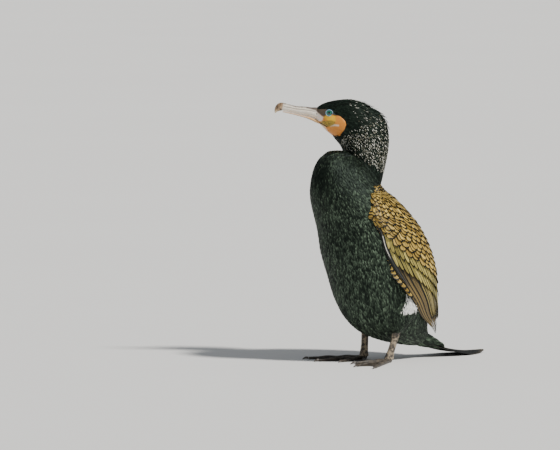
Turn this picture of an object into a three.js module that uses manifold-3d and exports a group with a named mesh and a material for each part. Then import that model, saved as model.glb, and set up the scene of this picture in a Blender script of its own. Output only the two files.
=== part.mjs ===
// A great cormorant in breeding plumage, standing upright on the floor with its wings folded and its head
// turned to its right. Millimetres, +Z up. The bird faces -Y and its left side is +X.
// Every form is a loft through a few named stations, or a thin vane laid on such a form.
import * as THREE from "three";
import { mergeVertices } from "three/addons/utils/BufferGeometryUtils.js";
import Module from "manifold-3d";

const wasm = await Module();
wasm.setup();

// Driving dimensions
const GAP = 0.35; // clearance between touching nodes
const HEAD_YAW = 38; // degrees that the head turns to the bird's right
const NECK_AXIS = { x: 0, f: 15 }; // where the neck's axis stands
const EYE = { d: 68.9, z: 436.1, surface: 18.6, ball: 8, proud: 1.2, ring: 5.3, lid: 1.25 };
const CHEST_CUT = 305; // height at which the neck's fold meets the torso
const WING = { core: 5, coreThick: 2.5, vane: 0.55 }; // how deep the core lies, and thicknesses
const TAIL = { root: -84, rootHeight: 52, start: -96, length: 150, feathers: 10 };
const TOE_JOINT = { x: 34.5, f: -4 };

const COLOUR = {
  body: 0x1a2b25,
  head: 0x15191b,
  thigh: 0x23302b,
  bronze: 0x75602f,
  black: 0x14161a,
  horn: 0xcfc3b4,
  mandible: 0xc9a27a,
  face: 0xc98b4a,
  ring: 0x9fb9c9,
  eye: 0x18a27a,
  leg: 0x3a322c,
  claw: 0x2a2522,
};

// Small helpers
const radians = THREE.MathUtils.degToRad;
const clamp = THREE.MathUtils.clamp;
const lerp = THREE.MathUtils.lerp;
const degrees = THREE.MathUtils.radToDeg;
const spread = (n) => Array.from({ length: n }, (_, k) => k);

// A point from how far forward, how high and how far to the bird's left it is.
function place(forward, up, left = 0) {
  return new THREE.Vector3(left, -forward, up);
}

// The direction that a heading faces, and the direction to its left. Yaw turns to the bird's right.
const ahead = (yaw) => new THREE.Vector3(-Math.sin(radians(yaw)), -Math.cos(radians(yaw)), 0);
const leftOf = (yaw) => new THREE.Vector3(Math.cos(radians(yaw)), -Math.sin(radians(yaw)), 0);

// The value at t (0 to 1) of a smooth curve through evenly spaced numbers.
function through(values, t) {
  const last = values.length - 1;
  const at = clamp(t, 0, 1) * last;
  const i = Math.min(Math.floor(at), last - 1);
  const s = at - i;
  const [p0, p1, p2, p3] = [i - 1, i, i + 1, i + 2].map((k) => values[clamp(k, 0, last)]);
  const square = 2 * p0 - 5 * p1 + 4 * p2 - p3;
  const cube = 3 * p1 - p0 - 3 * p2 + p3;
  return 0.5 * (2 * p1 + (p2 - p0) * s + square * s * s + cube * s * s * s);
}

// A closed geometry from rings of points, each ring running the same way round, with a point at each end.
function ringed(rings, first, last) {
  const n = rings[0].length;
  const points = [first, ...rings.flat(), last];
  const index = [];
  const at = (ring, k) => 1 + ring * n + (k % n);
  for (let k = 0; k < n; k++) {
    index.push(0, at(0, k), at(0, k + 1));
    index.push(points.length - 1, at(rings.length - 1, k + 1), at(rings.length - 1, k));
    for (let ring = 0; ring < rings.length - 1; ring++) {
      index.push(at(ring, k), at(ring + 1, k), at(ring + 1, k + 1));
      index.push(at(ring, k), at(ring + 1, k + 1), at(ring, k + 1));
    }
  }
  return new THREE.BufferGeometry().setFromPoints(points).setIndex(index);
}

// The solid inside a closed geometry, with its faces turned outwards.
function solid(geometry) {
  const bare = geometry.clone();
  bare.deleteAttribute("normal");
  bare.deleteAttribute("uv");
  const merged = mergeVertices(bare, 1e-4);
  const vertProperties = merged.attributes.position.array;
  const triVerts = new Uint32Array(merged.index.array);
  const build = () => new wasm.Manifold(new wasm.Mesh({ numProp: 3, vertProperties, triVerts }));
  const made = build();
  if (made.volume() > 0) return made;
  for (let i = 0; i < triVerts.length; i += 3) {
    [triVerts[i], triVerts[i + 1]] = [triVerts[i + 1], triVerts[i]];
  }
  return build();
}

const join = (solids) => wasm.Manifold.union(solids);

// The largest closed body of a solid, so that no scrap of a cut is kept.
function largest(made) {
  return made.decompose().sort((a, b) => b.volume() - a.volume())[0];
}

// A body form: rings of an ellipse, each through a front or under point (d1, z1) and a back or upper point
// (d2, z2), and as wide as its half-width. d is the distance ahead of the form's axis along its yaw.
class Form {
  constructor(stations, { axis = { x: 0, f: 0 }, ends = [1, 1], roundings = [0.45, 0.85] } = {}) {
    this.stations = stations.map((s) => ({ yaw: 0, x: 0, ...s }));
    this.axis = axis;
    this.ends = ends; // how far each rounded end stands out past its last ring
    this.roundings = roundings; // where the rings of a rounded end lie, as shares of how far it stands out
  }

  frame(t) {
    const s = {};
    for (const key of ["d1", "z1", "d2", "z2", "wide", "yaw", "x"]) {
      s[key] = through(this.stations.map((station) => station[key]), t);
    }
    const heading = ahead(s.yaw);
    const side = leftOf(s.yaw);
    const base = place(this.axis.f, 0, this.axis.x + s.x);
    const under = base.clone().addScaledVector(heading, s.d1).setZ(s.z1);
    const upper = base.clone().addScaledVector(heading, s.d2).setZ(s.z2);
    const dorsal = upper.clone().sub(under);
    const deep = dorsal.length() / 2;
    dorsal.normalize();
    const along = dorsal.clone().cross(side).normalize();
    return { centre: under.lerp(upper, 0.5), along, side, dorsal, deep, wide: s.wide };
  }

  // A point of the surface, grown outwards: angle 0 is the front or under side, 90 the left, 180 the back.
  point(t, around, grow = 0, shrink = 1, shift = 0) {
    const { centre, along, side, dorsal, deep, wide } = this.frame(t);
    const angle = radians(around);
    return centre
      .addScaledVector(along, shift)
      .addScaledVector(side, Math.sin(angle) * Math.max(wide * shrink + grow, 0.2))
      .addScaledVector(dorsal, -Math.cos(angle) * Math.max(deep * shrink + grow, 0.2));
  }

  ring(around, t, grow, shrink, shift) {
    return spread(around).map((k) => this.point(t, (360 * k) / around, grow, shrink, shift));
  }

  geometry(along, around, grow = 0) {
    const { roundings } = this;
    const closing = (r) => Math.sqrt(1 - r * r);
    const [out, back] = this.ends.map((end) => end + grow);
    const rings = [
      ...[...roundings].reverse().map((r) => this.ring(around, 0, grow, closing(r), -r * out)),
      ...spread(along + 1).map((i) => this.ring(around, i / along, grow)),
      ...roundings.map((r) => this.ring(around, 1, grow, closing(r), r * back)),
    ];
    const [start, end] = [this.frame(0), this.frame(1)];
    const first = start.centre.addScaledVector(start.along, -out);
    const last = end.centre.addScaledVector(end.along, back);
    return ringed(rings, first, last);
  }

  solid(along, around, grow = 0) {
    return solid(this.geometry(along, around, grow));
  }
}

// A thin closed slab of rows by columns cells. corner(s, c) gives its { low, high } points, for s and c in
// 0 to 1. Both faces are split into triangles alike, so that a curved slab can't cross itself.
function slab(rows, columns, corner) {
  const points = [];
  for (let i = 0; i <= rows; i++) {
    for (let j = 0; j <= columns; j++) {
      const { low, high } = corner(i / rows, j / columns);
      points.push(low, high);
    }
  }
  const at = (i, j, face) => 2 * (i * (columns + 1) + j) + face;
  const index = [];
  const quad = (a, b, c, d) => index.push(a, b, c, a, c, d);
  for (let i = 0; i < rows; i++) {
    for (let j = 0; j < columns; j++) {
      quad(at(i, j, 1), at(i + 1, j, 1), at(i + 1, j + 1, 1), at(i, j + 1, 1));
      index.push(at(i, j, 0), at(i + 1, j + 1, 0), at(i + 1, j, 0));
      index.push(at(i, j, 0), at(i, j + 1, 0), at(i + 1, j + 1, 0));
    }
    quad(at(i, 0, 0), at(i + 1, 0, 0), at(i + 1, 0, 1), at(i, 0, 1));
    quad(at(i + 1, columns, 0), at(i, columns, 0), at(i, columns, 1), at(i + 1, columns, 1));
  }
  for (let j = 0; j < columns; j++) {
    quad(at(0, j + 1, 0), at(0, j, 0), at(0, j, 1), at(0, j + 1, 1));
    quad(at(rows, j, 0), at(rows, j + 1, 0), at(rows, j + 1, 1), at(rows, j, 1));
  }
  return solid(new THREE.BufferGeometry().setFromPoints(points).setIndex(index));
}

// The torso with the bulge of the folded neck: from the top of the fold down to the root of the tail
const torsoForm = new Form(
  [
    { d1: 106, z1: 368.5, d2: 63, z2: 368.5, wide: 19 },
    { d1: 119, z1: 358, d2: 49, z2: 358, wide: 30 },
    { d1: 129, z1: 340, d2: 31, z2: 344, wide: 39 },
    { d1: 133, z1: 318, d2: 13, z2: 324, wide: 48 },
    { d1: 132, z1: 294, d2: -7, z2: 302, wide: 58 },
    { d1: 123, z1: 266, d2: -34, z2: 276, wide: 68 },
    { d1: 110, z1: 232, d2: -63, z2: 242, wide: 77 },
    { d1: 102, z1: 194, d2: -85, z2: 202, wide: 81.5 },
    { d1: 87, z1: 152, d2: -97, z2: 160, wide: 81 },
    { d1: 72, z1: 110, d2: -103, z2: 122, wide: 76 },
    { d1: 52, z1: 76, d2: -105, z2: 92, wide: 65 },
    { d1: 24, z1: 52, d2: -106, z2: 72, wide: 53 },
    { d1: -14, z1: 37, d2: -107, z2: 60, wide: 42 },
    { d1: -52, z1: 28, d2: -108, z2: 52, wide: 33 },
    { d1: -82, z1: 23, d2: -110, z2: 46, wide: 25 },
  ],
  { ends: [5, 5] },
);

// The head and the upper neck: each ring joins the throat to the crown or the nape
const headForm = new Form(
  [
    { d1: 91.5, z1: 422.6, d2: 92.3, z2: 444.5, wide: 9.5, yaw: HEAD_YAW },
    { d1: 82.7, z1: 413, d2: 80.1, z2: 451.9, wide: 14.5, yaw: HEAD_YAW },
    { d1: 74, z1: 404.3, d2: 65.2, z2: 456.2, wide: 19, yaw: HEAD_YAW },
    { d1: 65.2, z1: 397.3, d2: 49.5, z2: 458.5, wide: 23, yaw: HEAD_YAW },
    { d1: 58.2, z1: 389.4, d2: 32, z2: 458.9, wide: 25.5, yaw: HEAD_YAW },
    { d1: 52.1, z1: 382.4, d2: 14.5, z2: 455, wide: 27, yaw: HEAD_YAW },
    { d1: 47.7, z1: 376.3, d2: -3, z2: 444.5, wide: 28, yaw: HEAD_YAW },
    { d1: 44.2, z1: 367.5, d2: -18.8, z2: 434, wide: 28.5, yaw: 35 },
    { d1: 40.7, z1: 355.3, d2: -30.2, z2: 416.5, wide: 28.5, yaw: 31 },
    { d1: 38.1, z1: 341.3, d2: -35, z2: 393.8, wide: 28.5, yaw: 25 },
    { d1: 37.2, z1: 325.5, d2: -33.7, z2: 369.3, wide: 29, yaw: 18 },
    { d1: 37.2, z1: 308, d2: -27.6, z2: 343, wide: 30, yaw: 10 },
    { d1: 38.9, z1: 288.8, d2: -17.9, z2: 315, wide: 31, yaw: 4 },
    { d1: 49, z1: 268, d2: -7, z2: 289, wide: 31 },
  ],
  { axis: NECK_AXIS, ends: [3, 8] },
);

// A flat outline in the head's profile, given as [d, z] points, cut through the head from side to side.
function throughHead(outline, half = 45) {
  const depth = 2 * half;
  const shape = new THREE.Shape(outline.map(([d, z]) => new THREE.Vector2(d, z)));
  const geometry = new THREE.ExtrudeGeometry(shape, { depth, bevelEnabled: false }).translate(0, 0, -half);
  const basis = new THREE.Matrix4().makeBasis(
    ahead(HEAD_YAW),
    new THREE.Vector3(0, 0, 1),
    leftOf(HEAD_YAW).negate(),
  );
  basis.setPosition(place(NECK_AXIS.f, 0, NECK_AXIS.x));
  return solid(geometry.applyMatrix4(basis));
}

// A point of the head from its place in profile and its distance to the head's left.
function onHead(d, z, left) {
  return place(NECK_AXIS.f, z, NECK_AXIS.x)
    .addScaledVector(ahead(HEAD_YAW), d)
    .addScaledVector(leftOf(HEAD_YAW), left);
}

const bird = new THREE.Group();

// Adds a solid to the bird as a named mesh of its own material.
function node(name, made, color, roughness = 0.7) {
  const mesh = largest(made).getMesh();
  const width = mesh.numProp;
  const positions = new Float32Array(mesh.numVert * 3);
  for (let i = 0; i < mesh.numVert; i++) {
    positions.set(mesh.vertProperties.subarray(i * width, i * width + 3), i * 3);
  }
  const geometry = new THREE.BufferGeometry()
    .setAttribute("position", new THREE.BufferAttribute(positions, 3))
    .setIndex(new THREE.BufferAttribute(mesh.triVerts, 1));
  geometry.computeVertexNormals();
  const shown = new THREE.Mesh(geometry, new THREE.MeshStandardMaterial({ color, roughness, metalness: 0 }));
  shown.name = name;
  bird.add(shown);
}

const SIDES = [
  { name: "left", sign: 1 },
  { name: "right", sign: -1 },
];

// Eyes: a ball in each side of the head, and the ring of its lids
function eyeBall(sign, grow = 0) {
  const centre = onHead(EYE.d, EYE.z, sign * (EYE.surface + EYE.proud - EYE.ball));
  return solid(new THREE.SphereGeometry(EYE.ball + grow, 12, 8).translate(...centre));
}

function eyeRing(sign, grow = 0) {
  const torus = new THREE.TorusGeometry(EYE.ring, EYE.lid + grow, 5, 12).rotateX(Math.PI / 2);
  const turn = new THREE.Matrix4().makeRotationZ(radians(-HEAD_YAW) + Math.PI / 2);
  torus.applyMatrix4(turn).translate(...onHead(EYE.d, EYE.z, sign * EYE.surface));
  return solid(torus);
}

const sockets = join(SIDES.flatMap(({ sign }) => [eyeBall(sign, GAP), eyeRing(sign, GAP)]));

// The bill: the upper half hooked at its tip, the lower half under it
const upperBill = new Form(
  [
    { d1: 86, z1: 423, d2: 86, z2: 444.5, wide: 8.5 },
    { d1: 93, z1: 425, d2: 94, z2: 445, wide: 8.2 },
    { d1: 100, z1: 428.3, d2: 101, z2: 445, wide: 7.4 },
    { d1: 111.4, z1: 431, d2: 111.5, z2: 446.3, wide: 6.2 },
    { d1: 127, z1: 434.6, d2: 127, z2: 447.4, wide: 5 },
    { d1: 139, z1: 437, d2: 138, z2: 450, wide: 4.4 },
    { d1: 149, z1: 439.3, d2: 149.5, z2: 453, wide: 4 },
    { d1: 154, z1: 438.8, d2: 156.5, z2: 452.2, wide: 3.6 },
    { d1: 156.3, z1: 438.2, d2: 161.5, z2: 447.8, wide: 2.9 },
    { d1: 158.8, z1: 437.6, d2: 163.8, z2: 441.5, wide: 2.1 },
    { d1: 161.4, z1: 435.6, d2: 164, z2: 437.2, wide: 1.1 },
  ].reverse().map((s) => ({ ...s, yaw: HEAD_YAW })),
  { axis: NECK_AXIS, ends: [1.2, 1] },
);

const lowerBill = new Form(
  [
    { d1: 86, z1: 416, d2: 86, z2: 422.4, wide: 8.5 },
    { d1: 93, z1: 418.8, d2: 93, z2: 424.5, wide: 8 },
    { d1: 100, z1: 422.2, d2: 100, z2: 427.7, wide: 7 },
    { d1: 111.4, z1: 426.6, d2: 111.4, z2: 430.5, wide: 5.8 },
    { d1: 127, z1: 431, d2: 127, z2: 434.1, wide: 4.6 },
    { d1: 139, z1: 434, d2: 139, z2: 436.5, wide: 3.8 },
    { d1: 147, z1: 435.9, d2: 147, z2: 438.2, wide: 3 },
  ].reverse().map((s) => ({ ...s, yaw: HEAD_YAW })),
  { axis: NECK_AXIS, ends: [3, 1] },
);

// The bare skin of the face and pouch, bounded by the feathering, and the line of the mouth along it, as
// [d, z] points in profile
const FACE_EDGE = [
  [99, 441.5],
  [84, 442],
  [74, 443.5],
  [70, 447],
  [62, 444],
  [59, 433.5],
  [47, 428.8],
  [40.7, 420.7],
  [39.8, 415.5],
  [43.3, 406.5],
  [48.8, 399.4],
  [53, 385],
  [99, 385],
];
const MOUTH = [
  [104, 428.8],
  [98.8, 424.4],
  [82.7, 417.2],
  [72.9, 411.8],
];

// A thin band along a line in profile.
function band(line, half) {
  const shifted = (sign) => line.map(([d, z]) => [d, z + sign * half]);
  return [...shifted(1), ...shifted(-1).reverse()];
}

// The plane that parts the head from the upper neck: it passes the throat and falls towards the nape
const CUT_TILT = radians(62.74);
const cutNormal = ahead(HEAD_YAW).multiplyScalar(Math.cos(CUT_TILT)).setZ(Math.sin(CUT_TILT));
const cutHeight = cutNormal.dot(onHead(47.7, 376.3, 0));
const above = [...cutNormal];
const below = above.map((n) => -n);

const SKULL = [20, 16]; // rings and sides of the head's loft
const TRUNK = [18, 20]; // rings and sides of the torso's loft

const headWhole = headForm.solid(...SKULL);
const headGrown = headForm.solid(...SKULL, GAP);
const torsoWhole = torsoForm.solid(...TRUNK);
const torsoGrown = torsoForm.solid(...TRUNK, GAP);
const skull = headWhole.trimByPlane(above, cutHeight);
const upperNeck = headWhole.trimByPlane(below, GAP - cutHeight);

const faceSpace = throughHead(FACE_EDGE);
const faceSpaceGrown = join([
  throughHead(FACE_EDGE.map(([d, z]) => [d, z + GAP])),
  throughHead(FACE_EDGE.map(([d, z]) => [d - GAP, z])),
]);
const GROOVE = { half: 0.5, depth: 1.8 };
const mouthGroove = throughHead(band(MOUTH, GROOVE.half)).subtract(headForm.solid(8, 10, -GROOVE.depth));

node("face", skull.intersect(faceSpace).subtract(sockets).subtract(mouthGroove), COLOUR.face, 0.5);
node("bill_upper", upperBill.solid(13, 8).subtract(headGrown), COLOUR.horn, 0.35);
node("bill_lower", lowerBill.solid(6, 6).subtract(headGrown), COLOUR.mandible, 0.4);
for (const { name, sign } of SIDES) {
  node("eye_" + name, eyeBall(sign), COLOUR.eye, 0.05);
  node("eyelid_" + name, eyeRing(sign).subtract(eyeBall(sign, GAP)), COLOUR.ring, 0.4);
}

// Crest: short loose plumes that lie back along the nape and lift off it at their tips
const CREST = { plumes: 10, from: 0.4, to: 0.54, reach: 0.075, sink: 2, lift: 5, wide: 2.8, thick: 0.9 };
const CREST_ANGLES = [0, -26, 24, -12, 14]; // how far each plume's root stands from the nape's middle
const NAPE_RADIUS = 28;

function crestPlume(k) {
  const share = k / (CREST.plumes - 1);
  const t0 = lerp(CREST.from, CREST.to, share);
  const middle = 180 + CREST_ANGLES[k % CREST_ANGLES.length];
  const reach = CREST.reach * (1 - 0.3 * share);
  return slab(3, 1, (s, c) => {
    const across = (c - 0.5) * 2;
    const width = CREST.wide * (1 - 0.75 * s) * across;
    const angle = middle + degrees(width / NAPE_RADIUS);
    const height = -CREST.sink + (CREST.lift + CREST.sink) * s ** 1.3 - 0.3 * across * across;
    const thick = CREST.thick * (1 - 0.5 * s);
    const at = (grow) => headForm.point(t0 + reach * s, angle, grow);
    return { low: at(height - thick), high: at(height) };
  });
}

// The thighs' feathering, which bulges out of the flank above each leg
const thighForm = (sign) =>
  new Form(
    [
      { d1: 20, z1: 136, d2: -58, z2: 136, wide: 20, x: 52 * sign },
      { d1: 22, z1: 112, d2: -62, z2: 114, wide: 29, x: 52 * sign },
      { d1: 15, z1: 86, d2: -52, z2: 90, wide: 26, x: 49 * sign },
      { d1: 4, z1: 66, d2: -36, z2: 70, wide: 18, x: 46 * sign },
      { d1: -3, z1: 54, d2: -22, z2: 56, wide: 9.5, x: 43.5 * sign },
    ],
    { ends: [10, 3] },
  );

// The bare leg from the ankle down to the joint of the toes
const legForm = (sign) =>
  new Form(
    [
      { d1: -4, z1: 62, d2: -21, z2: 62, wide: 6.5, x: 44.5 * sign },
      { d1: -5, z1: 50, d2: -20, z2: 50, wide: 5.6, x: 42.6 * sign },
      { d1: -3, z1: 38, d2: -17, z2: 38, wide: 4.7, x: 40.4 * sign },
      { d1: 0, z1: 24, d2: -14, z2: 24, wide: 4.7, x: 37.6 * sign },
      { d1: 4, z1: 13, d2: -12, z2: 13, wide: 5.6, x: 35.4 * sign },
      { d1: 6, z1: 7, d2: -12, z2: 7, wide: 6.6, x: 34.5 * sign },
    ],
    { ends: [2, 3] },
  );

// Toes by their angle outwards from straight ahead, their length and their girth at the root. All four are
// joined by webs.
const TOES = [
  { angle: 36, length: 98, girth: 9 },
  { angle: 12, length: 88, girth: 8.6 },
  { angle: -14, length: 64, girth: 8.2 },
  { angle: -48, length: 31, girth: 7 },
];
const toeAxis = (sign) => ({ x: TOE_JOINT.x * sign, f: TOE_JOINT.f });
const KNUCKLES = [1, 0.84, 0.92, 0.74, 0.82, 0.62, 0.56];

function toe(sign, { angle, length, girth }) {
  const stations = KNUCKLES.map((share, k) => {
    const d = lerp(-3, length, k / (KNUCKLES.length - 1));
    const high = girth * share;
    return { d1: d, z1: -0.8, d2: d, z2: high, wide: (girth / 2) * share, yaw: -sign * angle };
  });
  return new Form(stations, { axis: toeAxis(sign), ends: [3, 1.2], roundings: [0.75] }).solid(5, 6);
}

function claw(sign, { angle, length, girth }) {
  const root = girth * 0.56;
  const stations = [
    { d: length + 1.2 + GAP, low: 0.6, high: root, wide: root * 0.34 },
    { d: length + 4.5, low: 1.2, high: root + 0.2, wide: root * 0.3 },
    { d: length + 8, low: 0.7, high: root * 0.75, wide: root * 0.2 },
    { d: length + 11, low: 0.2, high: 1.3, wide: 0.5 },
  ].map(({ d, low, high, wide }) => ({ d1: d, z1: low, d2: d, z2: high, wide, yaw: -sign * angle }));
  return new Form(stations, { axis: toeAxis(sign), ends: [0.1, 0.8], roundings: [0.75] }).solid(3, 6);
}

// The webs between the toes: their reach along the toes, how far their free edge is hollowed, and the heights
// of their underside and upper side
const WEB = { from: 0.06, to: 0.92, hollow: 0.8, low: 0.3, root: 2.6, edge: 1.4 };

function web(sign, a, b) {
  const toePoint = (toe, d, z) =>
    place(toeAxis(sign).f, z, toeAxis(sign).x).addScaledVector(ahead(-sign * toe.angle), d);
  return slab(2, 3, (s, c) => {
    const reach = WEB.from + s * (WEB.to - WEB.hollow * c * (1 - c));
    const at = (z) => toePoint(a, reach * a.length, z).lerp(toePoint(b, reach * b.length, z), c);
    return { low: at(WEB.low), high: at(lerp(WEB.root, WEB.edge, s)) };
  });
}

function foot(sign) {
  const webs = spread(3).map((k) => web(sign, TOES[k], TOES[k + 1]));
  return join([...TOES.map((t) => toe(sign, t)), ...webs]).trimByPlane([0, 0, 1], 0);
}

const neckSpace = headGrown.trimByPlane(above, cutHeight - GAP);
const upperNeckGrown = headGrown.trimByPlane(below, GAP - cutHeight);
const feathered = skull.subtract(join([faceSpaceGrown, sockets]));
const skullFeathers = join([feathered, ...spread(CREST.plumes).map(crestPlume)]);
node("head", skullFeathers, COLOUR.head);
node("neck_upper", upperNeck.trimByPlane([0, 0, 1], CHEST_CUT), COLOUR.head);
const fold = torsoWhole.trimByPlane([0, 0, 1], CHEST_CUT).subtract(join([neckSpace, upperNeckGrown]));
node("neck_fold", fold, COLOUR.body);
const trunk = join([torsoWhole, upperNeck]);
node("torso", trunk.trimByPlane([0, 0, -1], GAP - CHEST_CUT), COLOUR.body);

for (const { name, sign } of SIDES) {
  const thigh = thighForm(sign);
  const thighGrown = thigh.solid(6, 12, GAP);
  const leg = legForm(sign);
  node("thigh_" + name, thigh.solid(6, 12).subtract(torsoGrown), COLOUR.thigh);
  node("leg_" + name, leg.solid(6, 8).subtract(join([torsoGrown, thighGrown])), COLOUR.leg, 0.5);
  node("foot_" + name, foot(sign).subtract(leg.solid(6, 8, GAP)), COLOUR.leg, 0.5);
  TOES.forEach((t, k) => node(["claw", name, k + 1].join("_"), claw(sign, t), COLOUR.claw, 0.4));
}

// Wings: each lies on the flank and back over a form of its own, from the shoulder (u = 0) to the tips of the
// primaries (u = 1), and from the leading edge (v = 0) to the edge along the back (v = 1).
const wingForm = new Form([
  { d1: 131, z1: 300, d2: -15, z2: 300, wide: 65.5 },
  { d1: 124, z1: 268, d2: -49, z2: 268, wide: 80.5 },
  { d1: 109, z1: 236, d2: -78, z2: 236, wide: 89.5 },
  { d1: 103, z1: 203, d2: -99, z2: 203, wide: 92.5 },
  { d1: 96, z1: 171, d2: -113, z2: 171, wide: 91.5 },
  { d1: 88, z1: 139, d2: -121, z2: 139, wide: 88 },
  { d1: 74, z1: 106, d2: -126, z2: 106, wide: 81 },
  { d1: 28, z1: 74, d2: -129, z2: 74, wide: 66 },
  { d1: -50, z1: 42, d2: -131, z2: 42, wide: 42 },
]);
const LEADING = [58, 65, 68, 67, 71, 79, 90, 99, 122];
const TRAILING = [150, 171, 177, 178, 178, 178, 178, 177, 172];

// The breast's feathers cover the front of the shoulder, so at the top the wing starts further back: at
// SHOULDER.back across it, and at its own leading edge from SHOULDER.down on.
const SHOULDER = { back: 0.37, down: 0.155 };

function onWing(sign, u, v, height) {
  const start = SHOULDER.back * clamp(1 - u / SHOULDER.down, 0, 1);
  const angle = lerp(through(LEADING, u), through(TRAILING, u), lerp(start, 1, v));
  return wingForm.point(u, sign > 0 ? angle : 360 - angle, height);
}

// The layer that the quills are rooted in, hidden under the feathers.
function wingCore(sign) {
  const outer = -WING.core;
  return slab(6, 3, (s, c) => {
    const u = lerp(0.01, 0.7, s);
    const v = lerp(0.02, 0.98, c);
    return { low: onWing(sign, u, v, outer - WING.coreThick), high: onWing(sign, u, v, outer) };
  });
}

// The tiers of a folded wing, from the shoulder down. Roots stand at u0, in rows that are step apart, spread
// over from..to across the wing. Each feather is reach long and rises by rise to its tip. The ones nearer the
// leading edge are longer by longer.
const SMALL = { cells: [2, 2], rise: 4.2 }; // cells of a feather's vane, along and across, and how it rises
const LARGE = { cells: [3, 2], rows: 1, step: 0 };
const tier = (kind, count, u0, from, to, rest) => ({ ...kind, count, u0, from, to, ...rest });
const TIERS = [
  tier(SMALL, 4, 0.04, 0.1, 0.52, { rows: 2, step: 0.15, reach: 0.23 }), // lesser coverts
  tier(SMALL, 3, 0.04, 0.64, 0.93, { rows: 3, step: 0.16, reach: 0.27 }), // scapulars
  tier(LARGE, 5, 0.34, 0.06, 0.56, { reach: 0.19, rise: 4.2 }), // median coverts
  tier(LARGE, 6, 0.45, 0.05, 0.6, { reach: 0.24, rise: 3.8 }), // greater coverts
  tier(LARGE, 4, 0.54, 0.66, 0.95, { reach: 0.33, rise: 3.4 }), // tertials
  tier(LARGE, 4, 0.57, 0.32, 0.6, { reach: 0.31, rise: 2.2 }), // secondaries
  tier(LARGE, 4, 0.56, 0.05, 0.26, { reach: 0.35, rise: 1.6, longer: 0.09 }), // primaries
];

// A feather's width along its length, as a share of its widest
const FEATHER_WIDTH = [0.5, 0.9, 1, 0.36];

// One feather of a wing: each lies a little under the next one towards the back, as on the real wing.
function wingFeather(sign, { u0, v0, half, reach, rise, cells: [rows, columns] }) {
  const lean = 0.75; // how much lower its edge towards the back lies than its middle
  const camber = 0.35;
  const sunk = 0.8; // how deep its root lies in the core
  return slab(rows, columns, (s, c) => {
    const across = (c - 0.5) * 2;
    const v = clamp(v0 + half * through(FEATHER_WIDTH, s) * across, -0.02, 1);
    const u = u0 + reach * s * (1 - 0.04 * across * across);
    const height = rise * s - WING.core - sunk - lean * across - camber * across * across;
    const thick = WING.vane * (1 - 0.3 * s);
    return { low: onWing(sign, u, v, height - thick), high: onWing(sign, u, v, height) };
  });
}

function wingFeathers(sign) {
  return TIERS.flatMap((tier) =>
    spread(tier.rows).flatMap((row) =>
      spread(tier.count).map((k) => {
        const pitch = (tier.to - tier.from) / (tier.count - 1);
        const stagger = row % 2 ? 0.5 : 0;
        const outward = 1 - k / (tier.count - 1);
        return wingFeather(sign, {
          u0: tier.u0 + row * tier.step,
          v0: tier.from + pitch * (k - stagger * (tier.rows > 1 ? 1 : 0)),
          half: 0.8 * pitch,
          reach: tier.reach + (tier.longer ?? 0) * outward,
          rise: tier.rise,
          cells: tier.cells,
        });
      }),
    ),
  );
}

const wing = (sign) => join([wingCore(sign), ...wingFeathers(sign)]);

// Tail: stiff feathers that leave the rump steeply and are laid along the floor to their tips
const tailCore = new Form(
  [
    { d1: TAIL.root, z1: 28, d2: TAIL.root, z2: TAIL.rootHeight, wide: 27 },
    { d1: -102, z1: 20, d2: -100, z2: 48, wide: 26 },
    { d1: -122, z1: 16.5, d2: -118, z2: 39, wide: 24 },
    { d1: -142, z1: 13, d2: -140, z2: 25, wide: 20 },
  ],
  { ends: [1, 2] },
);

// How high the tail's underside runs at s (0 root, 1 tip): it falls to the floor and lies along it.
const tailLow = (s) => 30 * Math.max(0, 1 - s / 0.84) ** 1.9;

// The space of the whole tail, which the wings keep clear of.
const tailHull = (grow) =>
  slab(8, 3, (s, c) => {
    const half = lerp(18, 38, Math.sqrt(s)) + grow;
    const at = (z) => place(TAIL.start - s * TAIL.length, z, half * (c - 0.5) * 2);
    return { low: at(tailLow(s) - grow), high: at(tailLow(s) + lerp(10, 5, s) + grow) };
  });

// One of the tail's feathers. The middle pair lies on top and is the longest. Each next pair lies under it.
function tailFeather(sign, pair) {
  const pairs = TAIL.feathers / 2;
  const rank = pairs - 1 - pair;
  const layer = 0.95; // how much higher each feather lies than the next
  const top = layer * (rank + (sign > 0 && pair === 0 ? 1 : 0));
  const length = TAIL.length * (1 - 0.28 * (pair / (pairs - 1)) ** 1.6);
  const widths = [0.5, 0.72, 0.9, 1, 1, 0.45];
  return slab(5, 2, (s, c) => {
    const across = (c - 0.5) * 2;
    const along = (s * length) / TAIL.length;
    const middle = sign * (pair + 0.45) * lerp(2.6, 6.2, Math.sqrt(along));
    const half = 7.6 * through(widths, s);
    const low = tailLow(along) + top + 0.35 * (1 - across * across);
    const at = (z) => place(TAIL.start - along * TAIL.length, z, middle + half * across);
    return { low: at(low), high: at(low + WING.vane) };
  });
}

const tailFeathers = SIDES.flatMap(({ sign }) => spread(TAIL.feathers / 2).map((k) => tailFeather(sign, k)));

const tailSpace = join([tailCore.solid(5, 12, GAP), tailHull(GAP)]);
const behind = (sign) => join([torsoGrown, thighForm(sign).solid(6, 12, GAP), tailSpace]);
for (const { name, sign } of SIDES) {
  node("wing_" + name, wing(sign).subtract(behind(sign)), COLOUR.bronze, 0.6);
}
node("tail", join([tailCore.solid(5, 12), ...tailFeathers]).subtract(torsoGrown), COLOUR.black, 0.6);

const box = new THREE.Box3().setFromObject(bird);
bird.position.set(-(box.min.x + box.max.x) / 2, -(box.min.y + box.max.y) / 2, -box.min.z);

export default bird;
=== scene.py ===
# A great cormorant in breeding plumage, standing on a plain floor. Everything is in metres, in the packed
# model's frame: +Z up, the breast faces -Y, the bird's left side is +X. Forms are given in millimetres.
import math

import bpy
import numpy as np
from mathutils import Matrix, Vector
from mathutils.bvhtree import BVHTree


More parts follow.
